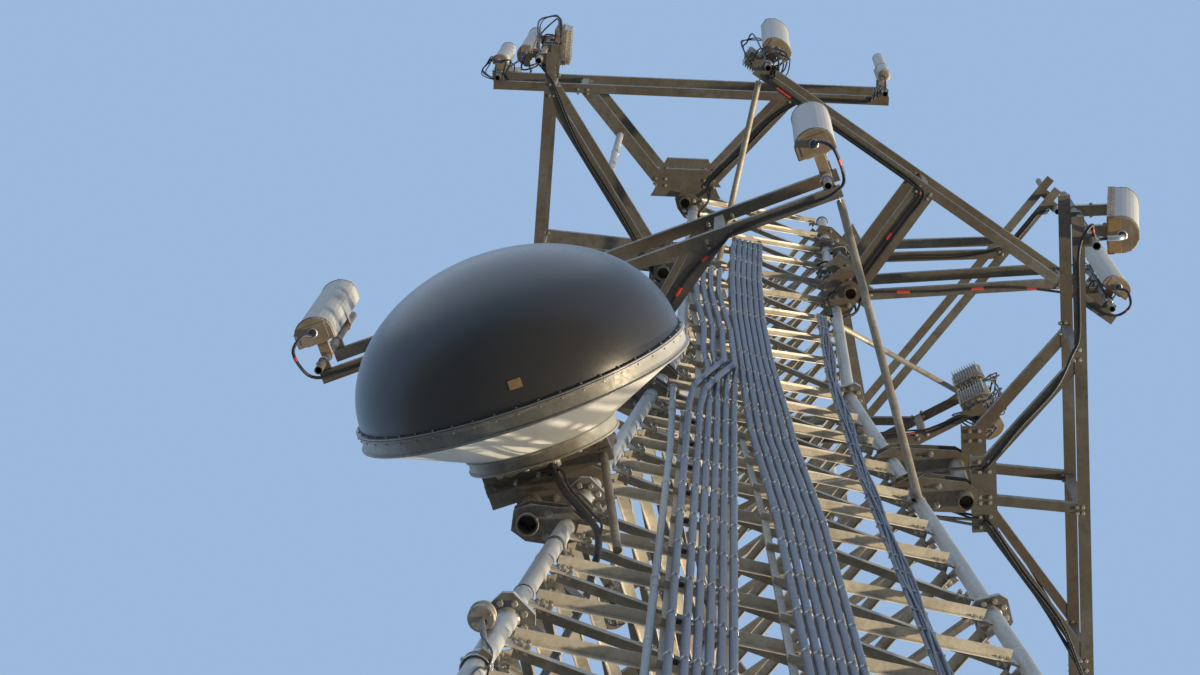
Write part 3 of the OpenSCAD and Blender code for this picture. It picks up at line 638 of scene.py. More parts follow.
# antennas; z is above the lower rail, gap is from the pipe, lean is in degrees
Panel = namedtuple("Panel", "frame x z w d h gap lean")
PANELS = [Panel(name, x, *rest) for name, xs, *rest in (
    ("low_frame_left", (-1.92,), 0.06, 0.29, 0.2, 1.65, 0.16, 0),
    ("low_frame_left", (2.03,), 0.06, 0.29, 0.2, 1.65, 0.11, 0),
    ("low_frame_right", (1.885, -1.9), 0.15, 0.26, 0.215, 1.4, 0.095, 6.5),
    ("low_frame_back", (-1.9, 1.9), 0.06, 0.29, 0.2, 1.65, 0.11, 0),
    ("mid_frame_front", (2.01, -1.86), 0.12, 0.27, 0.15, 1.9, 0.07, 0),
    ("mid_frame_left", (-1.865,), 0.12, 0.18, 0.12, 1.7, 0.07, 0),
    ("mid_frame_left", (2.08,), 0.12, 0.27, 0.15, 1.7, 0.07, 0),
    ("mid_frame_back", (2.135, -1.84), 0.12, 0.27, 0.15, 1.5, 0.07, 0),
    ("high_frame_front", (1.96,), 0.06, 0.15, 0.1, 1.3, 0.07, 0),
    ("high_frame_back", (1.9, -1.9), 0.06, 0.27, 0.15, 1.5, 0.07, 0),
) for x in xs]
# the antennas with one thick cable, by frame and x
SINGLE = (("low_frame_left", -1.92), ("low_frame_left", 2.03), ("mid_frame_front", -1.86),
          ("low_frame_right", 1.885))
# rod antennas: frame, x, z, radius, height
STICKS = [("high_frame_front", -2.0, 0.06, 0.06, 1.65), ("high_frame_right", -1.95, 0.06, 0.06, 1.65)]
# cables below other arms: frame, arm, side of the pipe, places of red tape along the cable
ARM_FEEDS = [("mid_frame_front", 0, 1, (0.3, 0.5, 0.62)), ("mid_frame_back", 1, 1, (0.45,)),
             ("mid_frame_left", 1, -1, ()), ("high_frame_front", 0, -1, ()),
             ("high_frame_right", 1, 1, (0.5,)), ("low_frame_right", 0, -1, ())]
caps, conns, straps, jumpers, backs, tape = [Build() for _ in range(6)]


def under_arm(name, arm, start, r, tapes=()):
    """A cable that comes from start, runs below the arm to the nose and is tied to the leg."""
    f, m = FRAMES[name], frame_matrix(name)
    a0, a1 = arm
    z = -0.0375 - r
    ny = nose_y(f)
    leg = m.inverted() @ leg_pt(f.leg, f.z)
    side = 1 if a0 >= leg.x else -1
    by_leg = leg.x + side * (leg_rad(f.z) + r + 0.003)
    tail = [(a1, -0.1, z - 0.004), (a1 + (a0 - a1) * 0.3, ny * 0.3, z), (a1 + (a0 - a1) * 0.65, ny * 0.65, z),
            (a0, ny * 0.97, z), (a0, ny - 0.05, z), (by_leg + side * 0.087, leg.y + 0.1, z - 0.10),
            (by_leg, leg.y, z - 0.24), (by_leg, leg.y, z - 0.5)]
    path = smooth_path(start + [spot(m, *p) for p in tail], 6)
    tube(jumpers, path, r, 10)
    band(jumpers, path[-1], UP, r, 0.05, 0.004, 12)
    band(straps, leg_pt(f.leg, f.z + z - 0.35), UP, leg_rad(f.z), 0.016, 0.003, 24)
    for t in tapes:
        i = int(t * (len(path) - 2))
        tube(tape, [path[i], path[i].lerp(path[i + 1], 0.5), path[i + 1]], r + 0.0015, 10)


def end_caps(am, a, rd):
    """Seams and screws of an antenna's two end caps, and its bottom plate."""
    half = a.w / 2 + 0.0015
    angles = [radians(7.5 * i) for i in range(25)]
    arc = [(half * cos(v), a.d - rd + (rd + 0.0015) * sin(v)) for v in angles]
    ring = [(half, 0.002)] + arc + [(-half, 0.002)]
    for z, screw_z in ((0.03, 0.015), (a.h - 0.03, a.h - 0.015)):
        tube(caps, [spot(am, x, y, z) for x, y in ring], 0.0028, 6)
        for x, y in ring[3:-3:6]:
            bolt(straps, spot(am, x, y, screw_z), aim(am, x, y - (a.d - rd), 0), 0.009, washer=False)
    slab(caps, am, -a.w * 0.36, a.w * 0.36, a.d * 0.12, a.d - rd * 0.45, -0.006, 0.001)


def single_feed(am, a, arm):
    """The connector and the one thick cable of an antenna."""
    m = frame_matrix(a.frame)
    down, q = aim(am, 0, 0, -1), spot(am, 0, a.d * 0.45, -0.006)
    s = 1 if a.x > arm[1] else -1
    y0 = PIPE_Y + PIPE_R + a.gap + a.d * 0.45
    boot = [(0.0285, 0), (0.0285, 0.03), (0.0245, 0.034), (0.0245, 0.05), (0.018, 0.06)]
    lathe(conns, q, down, [(0.037, 0), (0.037, 0.006), (0.029, 0.008)], 24)
    lathe(jumpers, q + down * 0.004, down, boot, 20)
    if a.frame == "low_frame_right":
        elbow, back = q + down * 0.115, aim(am, 0, -1, 0)
        bend = [q + down * 0.05, q + down * 0.09, elbow + back * 0.03, elbow + back * 0.1]
        cable(conns, bend, 0.019, 14)
        start = [elbow + back * 0.07, elbow + back * 0.1, q + down * 0.125 + back * 0.17,
                 spot(m, a.x + s * 0.06, y0 - 0.22, a.z - 0.2)]
    else:
        start = [q + down * 0.055, q + down * 0.12, spot(m, a.x + s * 0.05, y0 + 0.03, a.z - 0.22),
                 spot(m, a.x + s * 0.13, y0 - 0.05, a.z - 0.32)]
    route = [(a.x + s * 0.12, 0.05, -0.14 + a.z * 0.2), (a.x + s * 0.02, -0.02, -0.11),
             (a.x - s * 0.12, -0.04, -0.062), (a.x - s * 0.3, -0.04, -0.053),
             (arm[1] + s * 0.14, -0.045, -0.053)]
    tapes = (0.22, 0.60, 0.66, 0.72) if a.x < 0 else (0.2,)
    under_arm(a.frame, arm[:2], start + [spot(m, *p) for p in route], 0.0125, tapes)


def jumper(am, a, arm, i, count):
    """Connector i of an antenna and its thin cable: round the pipe, along the rail and on to the leg."""
    f, m = FRAMES[a.frame], frame_matrix(a.frame)
    down = aim(am, 0, 0, -1)
    plug = spot(am, (i - (count - 1) / 2) * a.w * 0.19, a.d * (0.32 + 0.16 * (i % 2)), 0)
    lathe(conns, plug + down * 0.004, down, [(0.0165, 0), (0.0165, 0.012), (0.0125, 0.014), (0.0125, 0.026),
                                             (0.0145, 0.028), (0.0145, 0.05), (0.010, 0.056)], 12)
    r = 0.0085
    a0, a1 = arm[:2]
    s = 1 if a.x < a1 else -1
    side = a.x + s * (0.05 + 0.024 * i)
    by_pipe = a.x + s * (0.042 + 0.017 * i)
    off = (i - 1.5) * 0.019
    row = -0.032 - 0.019 * i
    upper_rail = a.frame == "low_frame_right" and i % 2
    z = (f.gap if upper_rail else 0.0) - 0.032 + r
    ny = nose_y(f)
    leg = m.inverted() @ leg_pt(f.leg, f.z + z)
    past_leg = leg.x + (1 if a0 >= leg.x else -1) * (leg_rad(f.z) + 0.035 + 0.02 * i)
    drop = 0.10 + 0.035 * i + 0.03 * rng.random()
    loop = aim(m, s * (0.05 + 0.09 * rng.random()), 0.05 * rng.random() - 0.02, 0)
    low = a.z - 0.16 - drop * 0.6
    route = [(side, 0.10, low), (by_pipe, 0.07, max(0.2, low * 0.6)), (by_pipe, 0.055, z + 0.12),
             (side + s * 0.03, 0.0, z + 0.075), (side + s * 0.09, row, z + 0.004), (side + s * 0.16, row, z),
             (a1 - s * 0.25, row, z), (a1 - s * 0.1, row, z),
             (a1 + (a0 - a1) * 0.1 + off, row - 0.1, z + 0.009),
             (a1 + (a0 - a1) * 0.7 + off, ny * 0.7, z + 0.009), (a0 + off, ny, z + 0.009),
             (past_leg, leg.y + 0.03, z + 0.06)]
    q = plug + down * 0.058
    pts = [q, q + down * 0.05, q + down * (drop + 0.02) + loop] + [spot(m, *p) for p in route]
    cable(jumpers, pts, r, k=5)
    if i == 1:
        for t in range(1, 5):
            tie = Matrix.Translation(pts[9].lerp(pts[8], t / 5)) @ m.to_3x3().to_4x4()
            slab(straps, tie, -0.006, 0.006, -0.03, 0.034, -r, r + 0.003)


def antenna_brackets(a):
    """U-bolts round the pipe and hinge bolts of an antenna's two brackets."""
    m = frame_matrix(a.frame)
    for s in (0.2, a.h - 0.26):
        z = a.z + s + 0.03
        for q in (0.02025, -0.02025):
            ubolt(straps, spot(m, a.x, PIPE_Y, z + q), UP, aim(m, 0, -1, 0), PIPE_U, 0.045, 0.0045)
        for side in (-1, 1):
            bolt(straps, spot(m, a.x + side * 0.041, PIPE_Y + PIPE_R + a.gap, z), aim(m, side, 0, 0), 0.02)


def back_plate(am, a):
    """Tan plates on the back, sides and lower end of a leaning antenna, with their bolts."""
    half = a.w / 2
    slab(backs, am, -half - 0.004, half + 0.004, -0.008, 0.0, 0.0, a.h)
    for side in (-1, 1):
        slab(backs, am, side * (half + 0.001), side * (half + 0.006), -0.008, 0.044, 0.0, a.h)
        for i in range(9):
            p = spot(am, side * (half + 0.006), 0.02, 0.08 + i * (a.h - 0.16) / 8)
            bolt(straps, p, aim(am, side, 0, 0), 0.012)
    slab(backs, am, -half + 0.01, half - 0.01, 0.0, 0.09, -0.007, -0.001)


def panel_antenna(a):
    am = (frame_matrix(a.frame) @ Matrix.Translation((a.x, PIPE_Y + PIPE_R + a.gap, a.z))
          @ Matrix.Rotation(radians(-a.lean), 4, "X"))
    arm = min(FRAMES[a.frame].arms, key=lambda row: abs(row[1] - a.x))
    end_caps(am, a, min(a.d * 0.6, a.w * 0.45))
    if (a.frame, a.x) in SINGLE:
        single_feed(am, a, arm)
    else:
        count = 2 if a.w < 0.2 else 3
        for i in range(count):
            jumper(am, a, arm, i, count)
    antenna_brackets(a)
    if a.frame == "low_frame_right":
        back_plate(am, a)


def rod_antenna(name, x, z, r, h):
    m = frame_matrix(name)
    p = spot(m, x, 0.156 + r, z)
    lathe(caps, p, DOWN, [(r * 0.98, -0.05), (r + 0.003, -0.045), (r + 0.003, 0.0), (r * 0.6, 0.006)], 24)
    lathe(caps, p + UP * h, UP, [(r, -0.004), (r * 0.96, 0.01), (r * 0.7, 0.026), (r * 0.2, 0.034)], 24)
    lathe(conns, p, DOWN, [(0.016, 0.004), (0.016, 0.02), (0.012, 0.024), (0.012, 0.05)], 12)
    for s in (0.145, 0.645):
        band(straps, p + UP * s, UP, r, 0.03, 0.004, 24)
        ubolt(straps, spot(m, x, PIPE_Y, z + s), UP, aim(m, 0, -1, 0), PIPE_U, 0.04, 0.0045)
    route = ((x, 0.1, z - 0.25), (x + 0.06, 0.03, 0.05), (x + 0.1, -0.04, -0.022), (x + 0.5, -0.05, -0.022),
             (x + 0.78, -0.05, -0.022))
    pts = [p - UP * 0.05, p - UP * 0.12] + [spot(m, *q) for q in route]
    cable(jumpers, pts, 0.0085)


def arm_feed(name, arm, s, tapes):
    """Two cables from a pipe in along the rail and below an arm, each tied to the pipe."""
    f, m = FRAMES[name], frame_matrix(name)
    xp = f.pipes[s > 0]
    for j in (0, 1):
        a0, a1 = [v + (j - 0.5) * 0.04 for v in f.arms[arm][:2]]
        x, row, z = xp - s * (0.068 + 0.026 * j), -0.035 - 0.022 * j, 0.26 + 0.05 * j
        start = [(x, 0.05, z + 0.08), (x, 0.05, 0.2), (x, 0.045, 0.04), (x - s * 0.02, 0.012, -0.058),
                 (x - s * 0.09, row, -0.0505)]
        if abs(x - a1) > 0.5:
            start += [(a1 + s * 0.36, row, -0.0505), (a1 + s * 0.12, row - 0.01, -0.0505)]
        under_arm(name, (a0, a1), [spot(m, *p) for p in start], 0.0105, tapes if j else ())
        band(straps, spot(m, xp, PIPE_Y, z), UP, 0.03, 0.016, 0.003, 16)
        tie = m @ Matrix.Translation((xp, 0.058, z))
        slab(straps, tie, *sorted((-s * 0.03, x - xp)), -0.004, 0.004, -0.008, 0.008)


def slack_cable(j):
    """A slack length wound round leg B above the middle frames, and its band."""
    z0 = 32.9 + 0.14 * j + 0.05 * rng.random()
    a0 = 2 * pi * rng.random()
    reach = 0.03 + 0.05 * rng.random()
    rise = 0.35 + 0.25 * rng.random()
    r, pts = 0.0115, []
    for i in range(15):
        t = i / 14
        a = a0 + 1.35 * pi * t * (1 if j % 2 else -1)
        out = leg_rad(z0) + r + 0.002 + reach * sin(pi * t)
        pts.append(leg_pt(1, z0 + rise * t) + polar(a) * out)
    cable(jumpers, pts, r, 9, 2)
    band(straps, leg_pt(1, z0 + 0.012), UP, leg_rad(z0), 0.02, 0.003, 20)


for panel in PANELS:
    panel_antenna(panel)
for row in STICKS:
    rod_antenna(*row)
for row in ARM_FEEDS:
    arm_feed(*row)
for j in range(7):
    slack_cable(j)
tape.make("cable_tapes", "red", "cable_jacket")
caps.make("antenna_end_caps", "unit", "radome_white")
conns.make("antenna_connectors", "clip", "radome_white")
straps.make("antenna_fixings", "bolt", "weathered_steel")
backs.make("antenna_back_plates", "tan", "weathered_steel", 0.002)

# radio units
Radio = namedtuple("Radio", "frame x z w d h")
RADIOS = [Radio(name, x, *rest) for name, xs, *rest in (
    ("mid_frame_left", (-1.865,), 1.0, 0.37, 0.156, 0.52),
    ("mid_frame_front", (2.01, -1.86), 1.0, 0.3, 0.16, 0.48),
    ("mid_frame_back", (2.135,), 0.15, 0.3, 0.15, 0.48),
    ("mid_frame_back", (2.135,), 1.0, 0.3, 0.15, 0.48),
    ("high_frame_front", (1.96,), 0.98, 0.3, 0.15, 0.42),
    ("high_frame_back", (-1.9, 1.9), 0.98, 0.3, 0.15, 0.42),
) for x in xs]
covers, fix = Build(), Build()


def radio_case(u):
    """Cover frames, bottom plate and handle of a radio unit, its connectors and its U-bolts."""
    m = frame_matrix(u.frame)
    mb = m @ Matrix.Translation((u.x, PIPE_Y - 0.07, u.z))
    hw = u.w / 2 - 0.02
    for z0, z1 in ((0.004, 0.03), (u.h - 0.03, u.h - 0.004)):
        slab(covers, mb, -hw - 0.004, hw + 0.004, -0.016, 0.001, z0, z1)
    slab(covers, mb, -hw + 0.012, hw - 0.012, -u.d + 0.042, -0.008, -0.005, 0.001)
    handle = ((0.75, u.h), (0.75, u.h + 0.04), (0.4, u.h + 0.05), (0, u.h + 0.05))
    for side in (-1, 1):
        pts = [spot(mb, side * hw * part, -u.d * 0.5, z) for part, z in handle]
        cable(covers, pts, 0.006, k=5)
    for i in range(4):
        for row in (0, 1):
            p = spot(mb, (i - 1.5) * hw * 0.44, -0.03 - row * (u.d - 0.1), -0.005)
            lathe(fix, p, DOWN, [(0.014, 0), (0.014, 0.008), (0.0105, 0.01), (0.0105, 0.024), (0.013, 0.026),
                                 (0.013, 0.04)], 10)
            if row == 0:
                x = u.x + (i - 1.5) * 0.024
                pts = [p - UP * 0.04, p - UP * (0.1 + 0.02 * i),
                       spot(mb, (i - 1.5) * hw * 0.5, 0.075, -0.12 - 0.02 * i),
                       spot(m, x, 0.102, u.z - 0.04), spot(m, x, 0.106, u.z + 0.16 - 0.02 * i)]
                cable(jumpers, pts, 0.007)
    for s in (0.06, u.h - 0.12):
        ubolt(fix, spot(m, u.x, PIPE_Y, u.z + s + 0.03), UP, aim(m, 0, 1, 0), PIPE_U, 0.06, 0.005)


def loose_cables(u):
    """Six thin cables that hang in loops beside a unit."""
    m = frame_matrix(u.frame)
    for i in range(6):
        s = rng.choice((-1, 1))
        reach = 0.05 + 0.07 * rng.random()
        z = u.z + u.h * rng.random() * 0.6
        route = [(u.x + s * u.w * 0.2 * rng.random(), PIPE_Y - 0.07 - u.d * 0.4, u.z - 0.04),
                 (u.x + s * u.w * 0.3, -u.d * 0.5, u.z - 0.14 - 0.08 * rng.random()),
                 (u.x + s * (u.w * 0.5 + reach), -u.d * 0.3 * rng.random(), z - 0.1),
                 (u.x + s * (u.w * 0.5 + reach * 0.8), 0.12 * rng.random(), z + 0.1),
                 (u.x + s * (0.06 + 0.03 * i), 0.13 + 0.04 * rng.random(), u.z + 0.06),
                 (u.x + s * 0.036, 0.085, 0.12 + 0.015 * i)]
        cable(jumpers, [spot(m, *p) for p in route], 0.006 + 0.0015 * (i % 2), 7)


for radio in RADIOS:
    radio_case(radio)
for radio in RADIOS:
    loose_cables(radio)
covers.make("radio_covers", "unit", "unit_grey", 0.0015)
fix.make("radio_fixings", "clip", "unit_grey")
jumpers.make("jumper_cables", "black", "cable_jacket")

# feeders: OFF is from the face to the middle of the cables, runs are rows of height and x
OFF = 0.1484
LEFT = [(0.89, -0.8), (17.0, -0.59), (24.6, -0.5)]
RIGHT = [(0.89, 0.475), (17.6, 0.12), (21.5, 0.04), (24.2, -0.07), (25.2, -0.085), (27.8, -0.13),
         (29.5, -0.18), (31.5, -0.2), (33.4, -0.18)]
PLUG = [(0.0245, 0), (0.029, 0.004), (0.029, 0.085), (0.02, 0.09), (0.02, 0.12), (0.012, 0.125),
        (0.012, 0.15)]
# upper ends of the left run, a pair at a time: x, distance to its neighbour, height, off
LEFT_ENDS = (
    ((-0.655, 0.085, 25.1, OFF + 0.052), (-0.545, 0.085, 25.9, OFF + 0.052),
     (-0.415, 0.083, 26.7, OFF + 0.052), (-0.41, 0.078, 28.5, OFF), (-0.478, 0.076, 29.5, OFF),
     (-0.522, 0.07, 30.3, OFF), (-0.53, 0.08, 31.3, OFF), (-0.5, 0.08, 31.7, OFF - 0.05)),
    ((-0.53, 0.066, 26.6, OFF), (-0.563, 0.076, 27.4, OFF), (-0.563, 0.076, 28.5, OFF),
     (-0.628, 0.076, 29.5, OFF), (-0.658, 0.066, 30.3, OFF), (-0.67, 0.07, 31.3, OFF)),
    ((-0.38, 0.064, 26.3, OFF), (-0.366, 0.06, 27.04, OFF), (-0.364, 0.058, 27.17, 0.096),
     (-0.364, 0.058, 27.4, -0.098), (-0.374, 0.058, 27.62, -0.31)),
)


def left_cable(i):
    pair, j = divmod(i, 2)
    x = (i - 2.5) * 0.062 - (0.02 if i == 0 else 0)
    start = [front_pt(v + x, z, OFF) for z, v in LEFT]
    return start + [front_pt(x0 + step * j, z, off) for x0, step, z, off in LEFT_ENDS[pair]]


def right_cable(i):
    s = i - 2.5
    start = [front_pt(v + s * (0.062 if z < 27 else 0.052), z, OFF) for z, v in RIGHT]
    end = ((-0.16, 33.7, OFF - 0.06), (-0.15, 34.0, OFF - 0.23))
    return start + [front_pt(x + s * 0.05, z, off) for x, z, off in end]


def clip(b, bolts, p, d, z):
    out = FRONT if z > KINK else Vector((0, -cos(TILT), -sin(TILT)))
    m = axes_matrix(out.cross(d).normalized(), d, out, p)
    collar(b, p - d * 0.015, d, 0.0245, 0.0272, 0.002, 0.03, 14)
    slab(b, m, -0.009, 0.009, -0.013, 0.013, 0.022, 0.034)
    bolt(bolts, spot(m, 0, 0, 0.034), out, 0.011, washer=False)


def feeder_fittings(side, route_of):
    """Clips where the six cables lie in their row, and a connector and a wrap at each upper end."""
    b, bolts = Build(), Build()
    for i in range(6):
        path = route_of(i)
        for j in range(37):
            z = 1.018 + 0.89 * j
            p, d = at_z(path, z)
            if p is not None and abs(p.y - front_pt(0, z, OFF).y) < 0.004:
                clip(b, bolts, p, d, z)
        end, d = path[-1], (path[-1] - path[-2]).normalized()
        lathe(b, end - d * 0.07, d, PLUG, 16)
        collar(bolts, end - d * 0.22, d, 0.0242, 0.0265, 0.006, 0.136, 14)
    b.make("feeder_clips_" + side, "clip", "cable_jacket")
    bolts.make("feeder_clip_bolts_" + side, "bolt", "cable_jacket")


feeder_fittings("left", left_cable)
feeder_fittings("right", right_cable)

# rubber blocks in the gap between the first two cables of the left run
b = Build()
for i in range(27):
    z = 1.5 + 0.86 * i
    m = Matrix.Translation(front_pt(along(LEFT, z) - 2 * 0.062 - 0.011, z, OFF))
    slab(b, m, -0.014, 0.014, -0.02, 0.012, -0.02, 0.02)
b.make("feeder_spacers_left", "black", "cable_jacket", 0.003)


def on_braces(route, r):
    """Points of a pipe of radius r on the front of the bracing, from rows of z and x."""
    return [front_pt(x, z, GUSSET / 2 + angle_at(z) + r) for z, x in route]


def bundle_ties(path):
    """Plates across the bundle of thin cables, at uneven distances."""
    b = Build()
    z = 1.3
    while z < 30.9:
        p, d = at_z(path, z)
        m = axes_matrix(FRONT.cross(d).normalized(), d, FRONT, p + Vector((0.032, 0, 0)))
        slab(b, m, -0.05, 0.05, -0.009, 0.009, -0.0165, 0.0165)
        slab(b, m, 0.038, 0.06, -0.005, 0.005, 0.010, 0.026)
        z += 0.42 + 0.12 * rng.random()
    b.make("bundle_ties", "clip", "cable_jacket")


def bundle_loose_wires(path):
    b = Build()
    for j in range(3):
        pts, z = [], 17.2
        while z < 30.4:
            p = at_z(path, z)[0]
            x = 0.012 + 0.024 * j + 0.016 * sin(z * 2.3 + 2 * j)
            pts.append(p + Vector((x, -0.022 - 0.006 * sin(z * 1.7 + j), 0)))
            z += 0.35
        cable(b, pts, 0.0075, 6, 3)
    b.make("bundle_loose_wires", "cable", "cable_jacket")


thin = on_braces([(1.0, 1.3), (13.9, 0.87), (14.2, 0.862), (18.5, 0.74), (24.0, 0.57), (27.8, 0.52),
                  (28.2, 0.518), (31.0, 0.5)], 0.014)
bundle_ties(thin)
bundle_loose_wires(thin)


def conduit_fittings(pipe):
    """Couplings, saddles with their screws, and a gland at the upper end."""
    b, saddles = Build(), Build()
    for j in range(9):
        p, d = at_z(pipe, 2.4 + 2.75 * j)
        collar(b, p - d * 0.05, d, 0.0235, 0.028, 0.004, 0.1, 18)
    for j in range(20):
        p, d = at_z(pipe, 1.6 + 1.22 * j)
        collar(saddles, p - d * 0.011, d, 0.0235, 0.026, 0.001, 0.022, 16)
        for s in (-1, 1):
            m = Matrix.Translation(p + Vector((s * 0.035, 0.019, 0)))
            slab(saddles, m, -0.013, 0.013, -0.004, 0.001, -0.011, 0.011)
            bolt(saddles, p + Vector((s * 0.037, 0.015, 0)), FRONT, 0.009, washer=False)
    d = Vector((0, 0.1, 1)).normalized()
    gland = [(0.0235, 0), (0.031, 0.004), (0.031, 0.05), (0.026, 0.06), (0.012, 0.066)]
    lathe(b, pipe[-1] - d * 0.03, d, gland, 18)
    b.make("conduit_couplings", "conduit", "conduit_grey")
    saddles.make("conduit_saddles", "clip", "conduit_grey")


conduit = on_braces([(1.0, -1.09), (13.9, -0.902), (14.2, -0.898), (23.0, -0.785), (25.4, -0.785)], 0.023)
conduit_fittings(conduit)

# dish; dish_n looks out of it, dish_side along its rim
DISH_Z = 20.83
DISH = Vector((1.109, 0.334, DISH_Z))
DISH_TURN = radians(235.6)
dish_n = polar(DISH_TURN)
dish_side = Vector((-sin(DISH_TURN), cos(DISH_TURN), 0))
BACK, MAST_R = 0.453, 0.063
fixings = Build()


def dish_pt(back, side, z):
    return DISH - dish_n * back + dish_side * side + Vector((0, 0, z))


def rim_ray(a):
    return dish_side * cos(a) + Vector((0, 0, sin(a)))


def ring_at(back, r, steps=96):
    return [DISH - dish_n * back + rim_ray(2 * pi * i / steps) * r for i in range(steps)]


def dish_rim():
    """Beads and screws of the rim, bolts of the back, and the gasket below the cover."""
    b = Build()
    for back, r, wire in ((-0.008, 1.0225, 0.0045), (0.004, 1.0225, 0.004), (0.1, 1.0215, 0.0055)):
        tube(b, ring_at(back, r), wire, 8, True)
    for i in range(48):
        ray = rim_ray(radians(7.5 * i + 3))
        bolt(fixings, DISH + dish_n * 0.0135 + ray * 1.006, dish_n, 0.012)
        bolt(fixings, DISH - dish_n * 0.02 + ray * 1.0195, ray, 0.011, washer=False)
    for r, count in ((0.43, 16), (0.2, 8)):
        for i in range(count):
            ray = rim_ray(radians(360 / count * i + 11))
            bolt(fixings, DISH - dish_n * BACK + ray * r, -dish_n, 0.022)
    b.make("dish_rim_beads", "rim", "galvanised_brace")
    b = Build()
    tube(b, ring_at(-0.0145, 1.0015, 128), 0.0045, 8, True)
    b.make("dish_gasket", "black", "radome_dark")


def dish_flanges():
    b = Build()
    for back, r, edge in ((0.3655, 0.474, 0.002), (0.441, 0.472, 0.001)):
        collar(b, DISH - dish_n * back, -dish_n, 0.461, r, edge, 2 * edge + 0.01, 64)
    b.make("dish_ring_flanges", "dish", "dish_white")


def feed_box():
    """The box behind the dish, with a flange for its waveguide and one for the feeder."""
    b = Build()
    m = axes_matrix(dish_side, UP, -dish_n, dish_pt(BACK, 0.0, 0.06))
    slab(b, m, -0.15, 0.13, -0.09, 0.1, 0.0, 0.055)
    slab(b, m, -0.07, 0.06, -0.05, 0.06, 0.055, 0.085)
    slab(b, m, 0.15, 0.24, -0.08, 0.02, 0.0, 0.05)
    port = [(0.05, 0), (0.05, 0.008), (0.032, 0.01), (0.032, 0.06), (0.04, 0.064), (0.04, 0.08)]
    lathe(b, dish_pt(BACK, -0.22, -0.1), -dish_n, port, 24)
    b.make("dish_feed_box", "cream", "dish_white", 0.004)
    flange = [(0.045, 0), (0.045, 0.01), (0.03, 0.012), (0.03, 0.09)]
    lathe(fixings, dish_pt(BACK, 0.06, -0.16), -dish_n, flange, 20)


def mount_fixings():
    """Bolts, U-bolts, rods and bands that join the dish, its mast pipe and leg A."""
    mast = Vector((1.385, 0.961, 0))
    for z in (-0.13, 0.3):
        for side in (-0.36, 0.36):
            for s in (-0.022, 0.022):
                bolt(fixings, dish_pt(0.6055, side + s, z), -dish_n, 0.02)
    for z in (-0.235, 0.405):
        for s in (-0.02, 0.02):
            b = Build()
            ubolt(b, Vector((mast.x, mast.y, DISH_Z + z + s * 1.5)), UP, -dish_n, 0.072, 0.13, 0.008)
            b.make("mast_ubolt_%d_%d" % (z > 0, s > 0), "clip", "weathered_steel")
    for z in (20.06, 20.5, 21.5):
        leg = leg_pt(0, z)
        u = Vector((mast.x - leg.x, mast.y - leg.y, 0)).normalized()
        v = Vector((-u.y, u.x, 0))
        for s in (-1, 1):
            p = Vector(((leg.x + mast.x) / 2, (leg.y + mast.y) / 2, z)) + v * 0.07 * s
            post(fixings, p - UP * 0.085, p + UP * 0.085, 0.010, 10)
            for h, side in ((-0.055, DOWN), (0.055, UP)):
                lathe(fixings, p + UP * h, side, ROD_NUT, 6, False)
        band(fixings, Vector((mast.x, mast.y, z)), UP, MAST_R, 0.05, 0.006, 24)
        band(fixings, leg, UP, leg_rad(z), 0.05, 0.006, 24)
    band(fixings, Vector((mast.x, mast.y, 19.965)), UP, MAST_R, 0.026, 0.004, 28)
    fixings.make("dish_fixings", "bolt", "weathered_steel")


def dish_cables():
    """The dish's feeder and a thin cable beside it, down the inner side of leg A, and their hangers."""
    inner = Vector((0.27, 0.156, 0))
    bend = ((1.421, 0.721, 20.62), (1.471, 0.758, 20.48), (1.548, 0.79, 20.26), (1.64, 0.795, 20.02),
            (1.715, 0.797, 19.82), (1.775, 0.80, 19.6), (1.80, 0.86, 19.42), (1.80, 0.95, 19.32))
    pts = [dish_pt(0.54, 0.06, -0.16)] + [Vector(p) for p in bend]
    pts += [leg_pt(0, z) + inner for z in (19.0, 18.4, 17, 14.4, 13.6, 10, 6, 3, 1.2)]
    b = Build()
    cable(b, pts, 0.021, 14, 8)
    beside = Vector((0.012, -0.036, 0))
    start = [dish_pt(0.53, -0.22, -0.1), dish_pt(0.58, -0.2, -0.14), dish_pt(0.60, -0.08, -0.2)]
    second = start + [p + beside for p in pts[2:7]] + [p - beside for p in pts[8:]]
    cable(b, second, 0.0085, k=8)
    b.make("dish_feed_cable", "black", "cable_jacket")
    b = Build()
    u = inner.normalized()
    for i in range(15):
        z = 1.9 + 1.22 * i
        c = leg_pt(0, z)
        m = axes_matrix(u, UP.cross(u), UP, c)
        slab(b, m, leg_rad(z) - 0.002, inner.length - 0.017, -0.02, 0.02, -0.004, 0.004)
        band(b, c, UP, leg_rad(z), 0.03, 0.004, 24)
        band(b, c + inner, UP, 0.021, 0.03, 0.003, 14)
    b.make("dish_cable_hangers", "clip", "galvanised_leg")


dish_rim()
dish_flanges()
feed_box()
mount_fixings()
dish_cables()
# the dome again on finer steps, so that its reflection runs smoothly
DOME_R, DOME_H = 0.996, 0.751
b = Build()
lathe(b, DISH, dish_n, [(1.02, 0), (1.02, 0.0125), (1.0185, 0.014), (0.99, 0.014)], 144, False)
arc = [radians(2 * i) for i in range(45)]
prof = [(DOME_R * cos(a), (DOME_H + 0.0002) * sin(a)) for a in arc] + [(0.0005, DOME_H + 0.0002)]
lathe(b, DISH + dish_n * 0.0138, dish_n, prof, 144)
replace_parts(b.make("dome_skin", "dome", "radome_dark"), "dish_radome")
